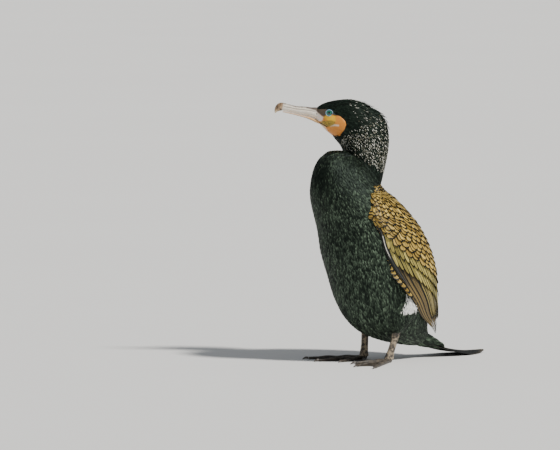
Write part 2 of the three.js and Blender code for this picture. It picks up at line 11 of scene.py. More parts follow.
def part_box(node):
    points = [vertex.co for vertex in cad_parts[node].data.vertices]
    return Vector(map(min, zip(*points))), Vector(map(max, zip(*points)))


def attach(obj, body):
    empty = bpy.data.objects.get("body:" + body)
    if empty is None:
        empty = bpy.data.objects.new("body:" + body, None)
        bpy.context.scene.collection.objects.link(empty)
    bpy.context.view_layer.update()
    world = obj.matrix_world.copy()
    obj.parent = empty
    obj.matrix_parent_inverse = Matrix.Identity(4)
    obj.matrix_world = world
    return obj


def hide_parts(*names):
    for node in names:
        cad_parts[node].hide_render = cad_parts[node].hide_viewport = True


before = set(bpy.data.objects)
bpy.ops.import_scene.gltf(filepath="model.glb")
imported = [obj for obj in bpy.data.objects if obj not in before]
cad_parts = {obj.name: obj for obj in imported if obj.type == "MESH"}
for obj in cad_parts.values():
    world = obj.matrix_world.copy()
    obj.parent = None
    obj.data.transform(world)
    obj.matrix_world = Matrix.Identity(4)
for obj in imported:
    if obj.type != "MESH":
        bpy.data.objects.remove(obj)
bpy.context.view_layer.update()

MM = 0.001

# Driving dimensions, the same as the solids'
HEAD_YAW = 38
NECK_AXIS = (0.0, 15.0)
EYE = {"d": 68.9, "z": 436.1, "surface": 18.6, "ball": 8.0, "proud": 1.2, "ring": 5.3, "bare": 6.9}
TAIL_LENGTH = 150
TAIL_START = -96
TOE_JOINT = (34.5, -4.0)
COAT, HEAD_COAT = 2.0, 1.2  # depths of the body's and the head's feathers over the skin


# Small helpers
def lerp(a, b, t):
    return a + (b - a) * t


def unit(vectors):
    return vectors / np.linalg.norm(vectors, axis=-1, keepdims=True)


def smooth(x, low, high):
    t = np.clip((x - low) / (high - low), 0, 1)
    return t * t * (3 - 2 * t)


def through(values, t):
    """The value at t (0 to 1) of a smooth curve through evenly spaced numbers."""
    values = np.asarray(values, float)
    last = len(values) - 1
    at = np.clip(t, 0, 1) * last
    i = np.minimum(np.floor(at).astype(int), last - 1)
    s = at - i
    p0, p1, p2, p3 = (values[np.clip(i + k, 0, last)] for k in (-1, 0, 1, 2))
    square = 2 * p0 - 5 * p1 + 4 * p2 - p3
    cube = 3 * p1 - p0 - 3 * p2 + p3
    return 0.5 * (2 * p1 + (p2 - p0) * s + square * s**2 + cube * s**3)


def ahead(yaw):
    a = np.radians(yaw)
    return np.stack([-np.sin(a), -np.cos(a), np.zeros_like(a)], -1)


def left_of(yaw):
    a = np.radians(yaw)
    return np.stack([np.cos(a), -np.sin(a), np.zeros_like(a)], -1)


UP = np.array([0.0, 0.0, 1.0])
HEAD_AHEAD, HEAD_LEFT = ahead(HEAD_YAW), left_of(HEAD_YAW)
NECK_BASE = np.array([NECK_AXIS[0], -NECK_AXIS[1], 0.0])
EYE_CENTRE = EYE["surface"] + EYE["proud"] - EYE["ball"]


def on_head(d, z, left):
    """A point of the head in millimetres, before the shift, from its place in profile."""
    d, z, left = (np.asarray(a, float)[..., None] for a in (d, z, left))
    return NECK_BASE + d * HEAD_AHEAD + left * HEAD_LEFT + z * UP


def frame_shift():
    """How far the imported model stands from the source's own axes, found from the ball of the left eye."""
    low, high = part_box("eye_left")
    centre = np.array((low + high) / 2)
    return centre - on_head(EYE["d"], EYE["z"], EYE_CENTRE) * MM


SHIFT = frame_shift()


def to_metres(points):
    return points * MM + SHIFT


def to_mm(points):
    return (points - SHIFT) / MM


def in_profile(points):
    """How far ahead of the neck's axis along the head, how high and how far left points in metres lie, all
    in mm."""
    local = to_mm(points) - NECK_BASE
    return local @ HEAD_AHEAD, local[..., 2], local @ HEAD_LEFT


class Form:
    """A loft of elliptic rings. Each station joins a front or under point (d1, z1) to a back or upper point
    (d2, z2); d runs ahead of the form's axis along its yaw."""

    KEYS = ("d1", "z1", "d2", "z2", "wide", "yaw", "x")
    SAMPLES = 401

    def __init__(self, stations, axis=(0.0, 0.0), ends=(1.0, 1.0)):
        t = np.linspace(0, 1, self.SAMPLES)
        rows = [dict(zip(self.KEYS, tuple(s) + (0.0,) * (7 - len(s)))) for s in stations]
        s = {key: through([row[key] for row in rows], t) for key in self.KEYS}
        heading, side = ahead(s["yaw"]), left_of(s["yaw"])
        base = np.stack([axis[0] + s["x"], np.full_like(t, -axis[1]), np.zeros_like(t)], -1)
        under = base + heading * s["d1"][:, None]
        upper = base + heading * s["d2"][:, None]
        under[:, 2], upper[:, 2] = s["z1"], s["z2"]
        dorsal = upper - under
        length = np.linalg.norm(dorsal, axis=1)
        dorsal /= length[:, None]
        along = np.cross(dorsal, side)
        self.table = np.concatenate(
            [(under + upper) / 2, along, side, dorsal, (length / 2)[:, None], s["wide"][:, None]], 1
        )
        self.ends = ends

    def frame(self, t):
        at = np.clip(t, 0, 1) * (self.SAMPLES - 1)
        i = np.minimum(at.astype(int), self.SAMPLES - 2)
        s = (at - i)[..., None]
        row = self.table[i] * (1 - s) + self.table[i + 1] * s
        return row[..., 0:3], row[..., 3:6], row[..., 6:9], row[..., 9:12], row[..., 12], row[..., 13]

    def point(self, t, degrees, grow=0.0, shrink=1.0, shift=0.0):
        """Points of the surface in mm: angle 0 is the front or under side, 90 the left, 180 the back."""
        t, degrees, grow = np.broadcast_arrays(np.asarray(t, float), degrees, grow)
        centre, along, side, dorsal, deep, wide = self.frame(t)
        angle = np.radians(degrees)
        out_side = (np.sin(angle) * (wide * shrink + grow))[..., None]
        out_back = (-np.cos(angle) * (deep * shrink + grow))[..., None]
        return centre + along * shift + side * out_side + dorsal * out_back

    def pace(self, t, degrees):
        """How many mm a whole t and one degree are worth at a place."""
        step = 0.003
        along = self.point(t + step, degrees) - self.point(t - step, degrees)
        around = self.point(t, degrees + 1) - self.point(t, degrees - 1)
        return np.linalg.norm(along, axis=-1) / (2 * step), np.linalg.norm(around, axis=-1) / 2

    def tube(self, rows, around, grow=0.0, rounding=5):
        """Vertices in mm and faces of the closed form."""
        angles = np.arange(around) * 360 / around
        shares = np.sin(np.linspace(0, math.pi / 2, rounding + 1)[1:-1])
        front, back = self.ends[0] + grow, self.ends[1] + grow
        rings = [self.point(0, angles, grow, math.sqrt(1 - r * r), -r * front) for r in shares[::-1]]
        rings += [self.point(t, angles, grow) for t in np.linspace(0, 1, rows + 1)]
        rings += [self.point(1, angles, grow, math.sqrt(1 - r * r), r * back) for r in shares]
        start, end = self.frame(0.0), self.frame(1.0)
        tips = [start[0] - start[1] * front, end[0] + end[1] * back]
        count = len(rings)
        verts = np.concatenate([np.concatenate(rings), np.array(tips)])
        faces = []
        for i in range(count - 1):
            for k in range(around):
                n = (k + 1) % around
                faces.append((i * around + k, (i + 1) * around + k, (i + 1) * around + n, i * around + n))
        first, last = count * around, count * around + 1
        for k in range(around):
            n = (k + 1) % around
            faces.append((first, k, n))
            faces.append((last, (count - 1) * around + n, (count - 1) * around + k))
        return verts, faces


# The forms, station by station: d1, z1, d2, z2, half-width, yaw, x
TORSO = Form(
    [
        (106, 368.5, 63, 368.5, 19),
        (119, 358, 49, 358, 30),
        (129, 340, 31, 344, 39),
        (133, 318, 13, 324, 48),
        (132, 294, -7, 302, 58),
        (123, 266, -34, 276, 68),
        (110, 232, -63, 242, 77),
        (102, 194, -85, 202, 81.5),
        (87, 152, -97, 160, 81),
        (72, 110, -103, 122, 76),
        (52, 76, -105, 92, 65),
        (24, 52, -106, 72, 53),
        (-14, 37, -107, 60, 42),
        (-52, 28, -108, 52, 33),
        (-82, 23, -110, 46, 25),
    ],
    ends=(5, 5),
)

HEAD = Form(
    [
        (91.5, 422.6, 92.3, 444.5, 9.5, 38),
        (82.7, 413, 80.1, 451.9, 14.5, 38),
        (74, 404.3, 65.2, 456.2, 19, 38),
        (65.2, 397.3, 49.5, 458.5, 23, 38),
        (58.2, 389.4, 32, 458.9, 25.5, 38),
        (52.1, 382.4, 14.5, 455, 27, 38),
        (47.7, 376.3, -3, 444.5, 28, 38),
        (44.2, 367.5, -18.8, 434, 28.5, 35),
        (40.7, 355.3, -30.2, 416.5, 28.5, 31),
        (38.1, 341.3, -35, 393.8, 28.5, 25),
        (37.2, 325.5, -33.7, 369.3, 29, 18),
        (37.2, 308, -27.6, 343, 30, 10),
        (38.9, 288.8, -17.9, 315, 31, 4),
        (49, 268, -7, 289, 31, 0),
    ],
    axis=NECK_AXIS,
    ends=(3, 8),
)

RUMP = Form(
    [
        (-84, 28, -84, 52, 27),
        (-102, 20, -100, 48, 26),
        (-122, 16.5, -118, 39, 24),
        (-142, 13, -140, 25, 20),
    ],
    ends=(1, 2),
)

WING = Form(
    [
        (131, 300, -15, 300, 65.5),
        (124, 268, -49, 268, 80.5),
        (109, 236, -78, 236, 89.5),
        (103, 203, -99, 203, 92.5),
        (96, 171, -113, 171, 91.5),
        (88, 139, -121, 139, 88),
        (74, 106, -126, 106, 81),
        (28, 74, -129, 74, 66),
        (-50, 42, -131, 42, 42),
    ]
)
LEADING = [58, 65, 68, 67, 71, 79, 90, 99, 122]
TRAILING = [150, 171, 177, 178, 178, 178, 178, 177, 172]


def thigh(sign):
    return Form(
        [
            (20, 136, -58, 136, 20, 0, 52 * sign),
            (22, 112, -62, 114, 29, 0, 52 * sign),
            (15, 86, -52, 90, 26, 0, 49 * sign),
            (4, 66, -36, 70, 18, 0, 46 * sign),
            (-3, 54, -22, 56, 9.5, 0, 43.5 * sign),
        ],
        ends=(10, 3),
    )


def shank(sign):
    return Form(
        [
            (-4, 62, -21, 62, 6.5, 0, 44.5 * sign),
            (-5, 50, -20, 50, 5.6, 0, 42.6 * sign),
            (-3, 38, -17, 38, 4.7, 0, 40.4 * sign),
            (0, 24, -14, 24, 4.7, 0, 37.6 * sign),
            (4, 13, -12, 13, 5.6, 0, 35.4 * sign),
            (6, 7, -12, 7, 6.6, 0, 34.5 * sign),
        ],
        ends=(2, 3),
    )


def in_head(stations, ends):
    """A form along the head, turned as far as it is."""
    return Form([(*station, HEAD_YAW) for station in stations], axis=NECK_AXIS, ends=ends)


UPPER_BILL = in_head(
    [
        (161.4, 435.6, 164, 437.2, 1.1),
        (158.8, 437.6, 163.8, 441.5, 2.1),
        (156.3, 438.2, 161.5, 447.8, 2.9),
        (154, 438.8, 156.5, 452.2, 3.6),
        (149, 439.3, 149.5, 453, 4),
        (139, 437, 138, 450, 4.4),
        (127, 434.6, 127, 447.4, 5),
        (111.4, 431, 111.5, 446.3, 6.2),
        (100, 428.3, 101, 445, 7.4),
        (93, 425, 94, 445, 8.2),
        (86, 423, 86, 444.5, 8.5),
    ],
    ends=(1.2, 1),
)

LOWER_BILL = in_head(
    [
        (147, 435.9, 147, 438.2, 3),
        (139, 434, 139, 436.5, 3.8),
        (127, 431, 127, 434.1, 4.6),
        (111.4, 426.6, 111.4, 430.5, 5.8),
        (100, 422.2, 100, 427.7, 7),
        (93, 418.8, 93, 424.5, 8),
        (86, 416, 86, 422.4, 8.5),
    ],
    ends=(3, 1),
)

FACE_EDGE = [
    (99, 441.5), (84, 442), (74, 443.5), (70, 447), (62, 444), (59, 433.5), (47, 428.8), (40.7, 420.7),
    (39.8, 415.5), (43.3, 406.5), (48.8, 399.4), (53, 385), (99, 385),
]
MOUTH = [(104, 428.8), (98.8, 424.4), (82.7, 417.2), (72.9, 411.8)]
# The edge of the feathering. It reaches the lids of the eye above and behind
FEATHER_EDGE = [
    (99, 441.5), (86, 442.5), (75, 442.5), (69, 438), (64, 435.2), (55, 433), (46.5, 427.5),
    (41.3, 420.5), (40, 415.5), (42.5, 407.5), (46, 401.8), (51, 398.2), (58, 397), (70, 396),
    (99, 380), (99, 441.5),
]


# Meshes
def build_mesh(name, points, polygons, uvs=None, values=None):
    """A mesh from points in metres and arrays of faces, one array for each number of corners."""
    mesh = bpy.data.meshes.new(name)
    corners = np.concatenate([np.asarray(p).ravel() for p in polygons]).astype(np.int32)
    totals = np.concatenate([np.full(len(p), np.shape(p)[1]) for p in polygons])
    starts = np.concatenate([[0], np.cumsum(totals)[:-1]]).astype(np.int32)
    mesh.vertices.add(len(points))
    mesh.vertices.foreach_set("co", np.asarray(points, np.float32).ravel())
    mesh.loops.add(len(corners))
    mesh.loops.foreach_set("vertex_index", corners)
    mesh.polygons.add(len(totals))
    mesh.polygons.foreach_set("loop_start", starts)
    mesh.update(calc_edges=True)
    for label, uv in (uvs or {}).items():
        layer = mesh.uv_layers.new(name=label)
        layer.data.foreach_set("uv", np.asarray(uv, np.float32)[corners].ravel())
    for label, value in (values or {}).items():
        attribute = mesh.attributes.new(label, "FLOAT", "POINT")
        attribute.data.foreach_set("value", np.asarray(value, np.float32))
    return mesh


def by_corners(faces):
    """Faces sorted into quads and triangles."""
    groups = [[f for f in faces if len(f) == corners] for corners in (4, 3)]
    return [group for group in groups if group]


def in_scene(name, data):
    made = bpy.data.objects.new(name, data)
    bpy.context.scene.collection.objects.link(made)
    return made


def add_piece(mesh, material, replaced=(), sharp=None):
    """The mesh as a piece of the bird, smooth shaded, with edges sharper than some degrees kept sharp."""
    piece = in_scene(mesh.name, mesh)
    mesh.materials.append(material)
    mesh.polygons.foreach_set("use_smooth", np.ones(len(mesh.polygons), bool))
    if sharp is not None:
        mesh.set_sharp_from_angle(angle=math.radians(sharp))
    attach(piece, "root")
    if replaced:
        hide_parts(*replaced)
    return piece


def loft_piece(name, form, rows, around, material, replaced=(), grow=0.0):
    """A form as a piece of its own."""
    verts, faces = form.tube(rows, around, grow)
    return add_piece(build_mesh(name, to_metres(verts), by_corners(faces)), material, replaced)


# Materials
def new_material(name, roughness=0.5, **inputs):
    material = bpy.data.materials.new(name)
    material.use_nodes = True
    tree = material.node_tree
    shader = tree.nodes["Principled BSDF"]
    shader.inputs["Roughness"].default_value = roughness
    for label, value in inputs.items():
        shader.inputs[label.replace("_", " ")].default_value = value
    return Nodes(material, tree, shader)


class Nodes:
    """Short names for the nodes that the materials use."""

    def __init__(self, material, tree, shader):
        self.material, self.tree, self.shader = material, tree, shader

    def add(self, kind, inputs=(), **settings):
        made = self.tree.nodes.new(kind)
        for key, value in settings.items():
            setattr(made, key, value)
        for key, value in dict(inputs).items():
            if isinstance(value, bpy.types.NodeSocket):
                self.tree.links.new(value, made.inputs[key])
            else:
                made.inputs[key].default_value = value
        return made

    def math(self, operation, a, b=0.0):
        return self.add("ShaderNodeMath", {0: a, 1: b}, operation=operation).outputs[0]

    def times(self, a, b):
        return self.math("MULTIPLY", a, b)

    def plus(self, a, b):
        return self.math("ADD", a, b)

    def minus(self, a, b):
        return self.math("SUBTRACT", a, b)

    def off_shaft(self, across):
        """How far a place is from a vane's shaft, 0 to 0.5."""
        return self.math("ABSOLUTE", self.minus(across, 0.5))

    def ramp(self, value, low, high, start=0.0, end=1.0):
        """value taken smoothly from low..high to start..end."""
        inputs = {"Value": value, "From Min": low, "From Max": high, "To Min": start, "To Max": end}
        made = self.add("ShaderNodeMapRange", inputs, interpolation_type="SMOOTHSTEP")
        return made.outputs["Result"]

    def mix(self, share, a, b):
        made = self.add("ShaderNodeMix", data_type="RGBA")
        for socket, value in ((made.inputs[0], share), (made.inputs[6], a), (made.inputs[7], b)):
            if isinstance(value, bpy.types.NodeSocket):
                self.tree.links.new(value, socket)
            else:
                socket.default_value = value if isinstance(value, float) else (*value, 1.0)
        return made.outputs[2]

    def noise(self, scale, detail=3.0, roughness=0.5, vector=None):
        inputs = {"Scale": scale, "Detail": detail, "Roughness": roughness, "Vector": vector or self.place()}
        return self.add("ShaderNodeTexNoise", inputs).outputs["Fac"]

    def place(self):
        return self.add("ShaderNodeTexCoord").outputs["Object"]

    def uv(self, name="Vane"):
        made = self.add("ShaderNodeUVMap", uv_map=name)
        split = self.add("ShaderNodeSeparateXYZ", {"Vector": made.outputs["UV"]})
        return split.outputs["X"], split.outputs["Y"]

    def value(self, name):
        return self.add("ShaderNodeAttribute", attribute_name=name).outputs["Fac"]

    def finish(self, colour, height=None, strength=0.0, distance=0.0):
        """The material with its colour and, where there is a height, a bump."""
        self.tree.links.new(colour, self.shader.inputs["Base Color"])
        if height is not None:
            bump = self.add("ShaderNodeBump", {"Height": height, "Strength": strength, "Distance": distance})
            self.tree.links.new(bump.outputs["Normal"], self.shader.inputs["Normal"])
        return self.material


def barbs(nodes, across, along, count, slant=0.35):
    """Fine slanting lines of a vane, 0 to 1: they leave the shaft and run out towards the tip."""
    side = nodes.off_shaft(across)
    run = nodes.minus(along, nodes.times(side, slant))
    return nodes.math("PINGPONG", nodes.times(run, float(count)), 1.0)


def glossy_feathers(name, dark, light, glint, rim, roughness):
    """Small body feathers: dark and glossy, lighter down the middle, with a dark rim and painted glints along
    the barbs.
    """
    nodes = new_material(name, roughness, Specular_IOR_Level=0.22, Specular_Tint=(0.6, 0.8, 0.68, 1.0))
    across, along = nodes.uv()
    tone = nodes.value("tone")
    side = nodes.off_shaft(across)
    edge = nodes.ramp(nodes.math("MAXIMUM", nodes.times(side, 2.0), along), 0.6, 0.95)
    lines = barbs(nodes, across, along, 7)
    patches = nodes.noise(32.0, 4.0)
    share = nodes.plus(nodes.times(tone, 0.8), nodes.times(patches, 0.4))
    colour = nodes.mix(nodes.ramp(share, 0.3, 0.85), dark, light)
    # Painted highlights: pale glints along the barbs of the lighter feathers
    painted_glints = nodes.times(nodes.ramp(lines, 0.35, 1.0), nodes.ramp(tone, 0.35, 0.95, 0.0, 0.3))
    colour = nodes.mix(painted_glints, colour, glint)
    colour = nodes.mix(nodes.times(edge, 0.75), colour, rim)
    colour = nodes.mix(nodes.times(nodes.ramp(side, 0.06, 0.0), 0.3), colour, rim)
    colour = nodes.mix(nodes.value("white"), colour, (0.8, 0.8, 0.76))
    return nodes.finish(colour, lines, 0.3, 0.0003)


def bronze_feathers():
    """Wing feathers: golden bronze with a crisp black rim, a dark shaft and fine barbs. The longer ones are
    olive, and the flight feathers brown."""
    nodes = new_material("bronze_feathers", 0.5, Specular_IOR_Level=0.22)
    across, along = nodes.uv()
    tone = nodes.value("tone")
    dusk = nodes.value("dusk")
    size = nodes.value("rim")
    side = nodes.off_shaft(across)
    out = nodes.times(side, 2.0)
    wobble = nodes.times(nodes.minus(nodes.noise(300.0, 2.0), 0.5), 0.14)
    near_side = nodes.minus(nodes.plus(out, wobble), nodes.minus(1.0, size))
    tip_size = nodes.value("tip")
    tip = nodes.minus(along, nodes.minus(1.0, tip_size))
    tip = nodes.plus(tip, nodes.times(nodes.times(out, out), tip_size))
    tip = nodes.plus(tip, nodes.times(wobble, 0.4))
    edge = nodes.math("MAXIMUM", nodes.ramp(near_side, -0.05, 0.06), nodes.ramp(tip, -0.015, 0.02))
    lines = barbs(nodes, across, along, 36, 0.55)
    bronze = nodes.mix(tone, (0.24, 0.15, 0.025), (0.68, 0.48, 0.12))
    olive = nodes.mix(tone, (0.19, 0.16, 0.035), (0.54, 0.46, 0.13))
    brown = nodes.mix(tone, (0.05, 0.035, 0.015), (0.2, 0.14, 0.05))
    colour = nodes.mix(nodes.ramp(dusk, 0.0, 0.5), bronze, olive)
    colour = nodes.mix(nodes.ramp(dusk, 0.5, 1.0), colour, brown)
    colour = nodes.mix(nodes.times(lines, 0.22), colour, (0.06, 0.04, 0.015))
    root = nodes.ramp(along, 0.55, 0.1)
    colour = nodes.mix(nodes.times(root, 0.6), colour, (0.04, 0.035, 0.02))
    colour = nodes.mix(edge, colour, (0.006, 0.007, 0.006))
    streak = nodes.ramp(side, 0.045, 0.02)
    colour = nodes.mix(nodes.times(streak, 0.8), colour, (0.014, 0.01, 0.007))
    return nodes.finish(colour, lines, 0.12, 0.0003)


def plume_material():
    """The white hair-like plumes of the breeding dress."""
    nodes = new_material("white_plumes", 0.6, Specular_IOR_Level=0.3)
    colour = nodes.mix(nodes.ramp(nodes.value("tone"), 0.15, 0.8), (0.2, 0.19, 0.13), (0.88, 0.86, 0.78))
    return nodes.finish(colour)


def skin_under():
    nodes = new_material("skin_under", 0.8)
    patches = nodes.noise(60.0, 4.0)
    colour = nodes.mix(patches, (0.004, 0.007, 0.007), (0.012, 0.022, 0.019))
    colour = nodes.mix(nodes.value("white"), colour, (0.55, 0.55, 0.5))
    return nodes.finish(colour, nodes.noise(400.0, 2.0), 0.4, 0.0005)


GREEN = glossy_feathers(
    "green_feathers", (0.004, 0.007, 0.005), (0.11, 0.155, 0.105), (0.4, 0.5, 0.36), (0.003, 0.004, 0.003), 0.52
)
HEAD_GREEN = glossy_feathers(
    "head_feathers", (0.002, 0.003, 0.002), (0.012, 0.02, 0.015), (0.1, 0.16, 0.1), (0.001, 0.002, 0.001), 0.55
)
BRONZE = bronze_feathers()
PLUME = plume_material()
SKIN = skin_under()

# Skin
# The roots of the white feathers on the outside of each thigh, in mm
WHITE = {"low": 106, "high": 150, "half": 17, "forward": -17, "out": 45}
VOXEL = 0.0022


def white_patch(points):
    """1 where the plumage is white, at points in metres: a drop-shaped patch on the outside of each thigh."""
    local = to_mm(points)
    along = (local[..., 2] - WHITE["low"]) / (WHITE["high"] - WHITE["low"])
    half = WHITE["half"] * np.clip(1 - along, 0, 1) ** 0.7
    inside = half > np.abs(-local[..., 1] - WHITE["forward"])
    return (inside & (along > -0.05) & (along < 1) & (np.abs(local[..., 0]) > WHITE["out"])).astype(float)


def make_skin():
    """One skin for the head, neck, torso and thighs, under the feathers."""
    parts = [(TORSO, 90, 64, -COAT), (HEAD, 90, 64, -HEAD_COAT)]
    parts += [(thigh(sign), 40, 40, -COAT) for sign in (1, -1)]
    verts, faces = [], []
    for form, rows, around, grow in parts:
        points, polygons = form.tube(rows, around, grow)
        base = sum(len(v) for v in verts)
        verts.append(points)
        faces += [tuple(base + k for k in face) for face in polygons]
    mesh = bpy.data.meshes.new("skin_source")
    mesh.from_pydata(to_metres(np.concatenate(verts)).tolist(), [], faces)
    source = in_scene("skin_source", mesh)
    remesh = source.modifiers.new("one", "REMESH")
    remesh.mode = "VOXEL"
    remesh.voxel_size = VOXEL
    relax = source.modifiers.new("relax", "SMOOTH")
    relax.factor = 0.5
    relax.iterations = 6
    evaluated = source.evaluated_get(bpy.context.evaluated_depsgraph_get())
    skin = bpy.data.meshes.new_from_object(evaluated)
    skin.name = "skin"
    bpy.data.objects.remove(source)
    points = np.zeros(len(skin.vertices) * 3, np.float32)
    skin.vertices.foreach_get("co", points)
    white = skin.attributes.new("white", "FLOAT", "POINT")
    white.data.foreach_set("value", white_patch(points.reshape(-1, 3).astype(float)).astype(np.float32))
    nodes = ("head", "neck_upper", "neck_fold", "torso", "thigh_left", "thigh_right")
    return add_piece(skin, SKIN, nodes)


SKIN_PIECE = make_skin()


def tree_of(piece):
    return BVHTree.FromObject(piece, bpy.context.evaluated_depsgraph_get())


SKIN_TREE = tree_of(SKIN_PIECE)


# Small feathers over the skin
def courses(roots, ways, lengths, shares, tree, reach):
    """The course of each shaft along the skin, from its root: points, normals and kept indexes. A root more
    than reach metres from the skin is dropped."""
    points, normals, kept = [], [], []
    for k, (root, way, length) in enumerate(zip(roots, ways, lengths)):
        at, normal, _, distance = tree.find_nearest(Vector(root))
        if distance > reach:
            continue
        way = Vector(way)
        row_points, row_normals = [at], [normal]
        for start, end in zip(shares[:-1], shares[1:]):
            flat = way - normal * way.dot(normal)
            if flat.length < 1e-9:
                break
            way = flat.normalized()
            at, normal, _, _ = tree.find_nearest(at + way * (length * (end - start)))
            row_points.append(at)
            row_normals.append(normal)
        if len(row_points) == len(shares):
            points.append([tuple(p) for p in row_points])
            normals.append([tuple(n) for n in row_normals])
            kept.append(k)
    return np.array(points), np.array(normals), np.array(kept, int)


SMALL_SHARES = np.array([0.0, 0.34, 0.64, 0.87, 1.0])
SMALL_WIDTHS = np.array([0.4, 0.86, 1.0, 0.78, 0.22])
SMALL_THICK = 0.35 * MM * np.array([1.0, 1.0, 0.9, 0.7, 0.3])


def small_vanes(points, normals, half, rise, rng, curl):
    """Closed little vanes over shafts' courses: three points across the top and one beneath, row by row.
    Returns points (N, rows, 4, 3) in metres and the vane's own coordinates."""
    count, rows = points.shape[:2]
    way = np.gradient(points, axis=1)
    way /= np.linalg.norm(way, axis=-1, keepdims=True) + 1e-12
    side = np.cross(normals, way)
    side /= np.linalg.norm(side, axis=-1, keepdims=True) + 1e-12
    roll = rng.normal(0, 0.18, (count, 1, 1))
    width = half[:, None, None] * SMALL_WIDTHS[None, :, None]
    up = rise[:, None, None] * (SMALL_SHARES[None, :, None] ** 0.85)
    camber = curl * width
    middle = points + normals * up
    left = middle + side * width - normals * camber + normals * roll * width
    right = middle - side * width - normals * camber - normals * roll * width
    under = middle - normals * (SMALL_THICK[None, :, None] + camber * 0.6)
    grid = np.stack([left, middle, right, under], 2)
    across = np.broadcast_to(np.array([0.0, 0.5, 1.0, 0.5]), (count, rows, 4))
    along = np.broadcast_to(SMALL_SHARES[None, :, None], (count, rows, 4))
    return grid, np.stack([across, along], -1)


def ring_faces(rows, around):
    """Quads of a closed tube of rows by around points, and its two end faces."""
    quads = []
    for i in range(rows - 1):
        for k in range(around):
            n = (k + 1) % around
            quads.append((i * around + k, i * around + n, (i + 1) * around + n, (i + 1) * around + k))
    last = (rows - 1) * around
    ends = [tuple(range(around - 1, -1, -1)), tuple(range(last, last + around))]
    return quads, ends


BAKE_PATCH = 0.003
# Painted shade of the head and neck over the upper breast: from one height to another in mm the green feathers
# lose a share of their tone
BREAST_PAINTED_SHADE = {"low": 275, "high": 325, "left": 0.55}


def per_point(values, count, each):
    """Values of count feathers, repeated for each of a feather's points."""
    return {label: np.repeat(np.broadcast_to(value, count), each) for label, value in values.items()}


def form_roots(form, t, degrees):
    """Roots on a form in metres, the way that feathers lie there, and the roots' places on its unwrap."""
    step = 0.004
    roots = to_metres(form.point(t, degrees, -1.0))
    ways = form.point(t + step, degrees) - form.point(t - step, degrees)
    return roots, unit(ways), np.stack([degrees / 360 % 1, np.clip(t, 0, 1)], -1)


def coat_piece(
    name, rooted, sizes, material, seed, tree=SKIN_TREE, reach=0.007, curl=0.25, stray=0.12, values=None
):
    """Small feathers over the skin. rooted are their roots, ways and places on the unwrap; sizes are their
    length, half-width and rise in mm."""
    rng = np.random.default_rng(seed)
    roots, ways, unwrap = rooted
    length, half, rise = sizes
    side = unit(np.cross(ways, UP) + 1e-6)
    ways = ways + side * rng.normal(0, stray, (len(roots), 1))
    length = length * rng.uniform(0.88, 1.12, len(roots))
    points, normals, kept = courses(roots, ways, length * MM, SMALL_SHARES, tree, reach)
    rise = rise[kept] * rng.uniform(0.8, 1.08, len(kept))
    grid, vane = small_vanes(points, normals, half[kept] * MM, rise * MM, rng, curl)
    count, rows, around = grid.shape[:3]
    quads, ends = ring_faces(rows, around)
    faces = (np.arange(count) * rows * around)[:, None, None] + np.array(quads + ends)
    bake = 0.004 + 0.992 * unwrap[kept][:, None, None, :] + (vane - 0.5) * BAKE_PATCH
    uvs = {"Vane": vane.reshape(-1, 2), "OFBake": np.clip(bake, 0, 1).reshape(-1, 2)}
    tone = rng.beta(1.5, 1.9, count)
    if material is GREEN:
        # Painted shade: green feathers high on the body are darkened, for the shade that the head and neck cast
        # on the upper breast
        height = to_mm(points[:, 0])[:, 2]
        tone = tone * lerp(1.0, BREAST_PAINTED_SHADE["left"], smooth(height, BREAST_PAINTED_SHADE["low"], BREAST_PAINTED_SHADE["high"]))
    shown = {"tone": tone, "white": white_patch(points[:, 0]), **(values or {})}
    mesh = build_mesh(
        name, grid.reshape(-1, 3), [faces.reshape(-1, 4)], uvs, per_point(shown, count, rows * around)
    )
    return add_piece(mesh, material, sharp=70)


def sizes_at(t, *tables):
    """Lengths, half-widths and rises in mm at the t's of some feathers, each from a table of t's and numbers."""
    return tuple(np.interp(t, *table) for table in tables)


def spread_roots(form, t_from, t_to, spacing, seed, keep=None, jitter=0.28, along_share=0.9):
    """Roots in staggered rows over a form. spacing is the t's and gaps in mm of a table, or one gap for all;
    keep(t, degrees) drops some."""
    rng = np.random.default_rng(seed)
    ts, angles = [], []
    t, row = t_from, 0
    while t < t_to:
        ring = form.point(t, np.linspace(0, 360, 73))
        girth = np.linalg.norm(np.diff(ring, axis=0), axis=1).sum()
        gap = float(np.interp(t, *spacing)) if isinstance(spacing, tuple) else spacing
        count = max(6, int(girth / gap))
        angle = (np.arange(count) + 0.5 * (row % 2)) * 360 / count
        # Equal steps along the ring's own outline
        lengths = np.concatenate([[0], np.cumsum(np.linalg.norm(np.diff(ring, axis=0), axis=1))])
        angle = np.interp((angle / 360 % 1) * lengths[-1], lengths, np.linspace(0, 360, 73))
        pace, _ = form.pace(np.full(count, t), angle)
        ts.append(t + rng.uniform(-jitter, jitter, count) * gap / np.maximum(pace, 60))
        angles.append(angle + rng.uniform(-jitter, jitter, count) * 360 / count)
        t += along_share * gap / max(np.median(pace), 60)
        row += 1
    ts, angles = np.clip(np.concatenate(ts), 0, 1), np.concatenate(angles) % 360
    if keep:
        kept = keep(ts, angles)
        ts, angles = ts[kept], angles[kept]
    return ts, angles


# Head feathers and where the bare face is
def in_outline(outline, d, z):
    """Whether points lie inside a closed outline."""
    inside = np.zeros(np.shape(d), bool)
    for (d0, z0), (d1, z1) in zip(outline, outline[1:] + outline[:1]):
        crosses = (z0 > z) != (z1 > z)
        at = d0 + (z - z0) * (d1 - d0) / (z1 - z0 if z1 != z0 else 1e-9)
        inside ^= crosses & (d < at)
    return inside


def bare(points, margin=0.0):
    """Whether points in metres lie on the bare face or pouch, inside the edge of the feathering by a margin
    in mm."""
    d, z, _ = in_profile(points)
    edge = distance_to(FEATHER_EDGE, d, z)
    return np.where(in_outline(FEATHER_EDGE, d, z), edge, -edge) > margin


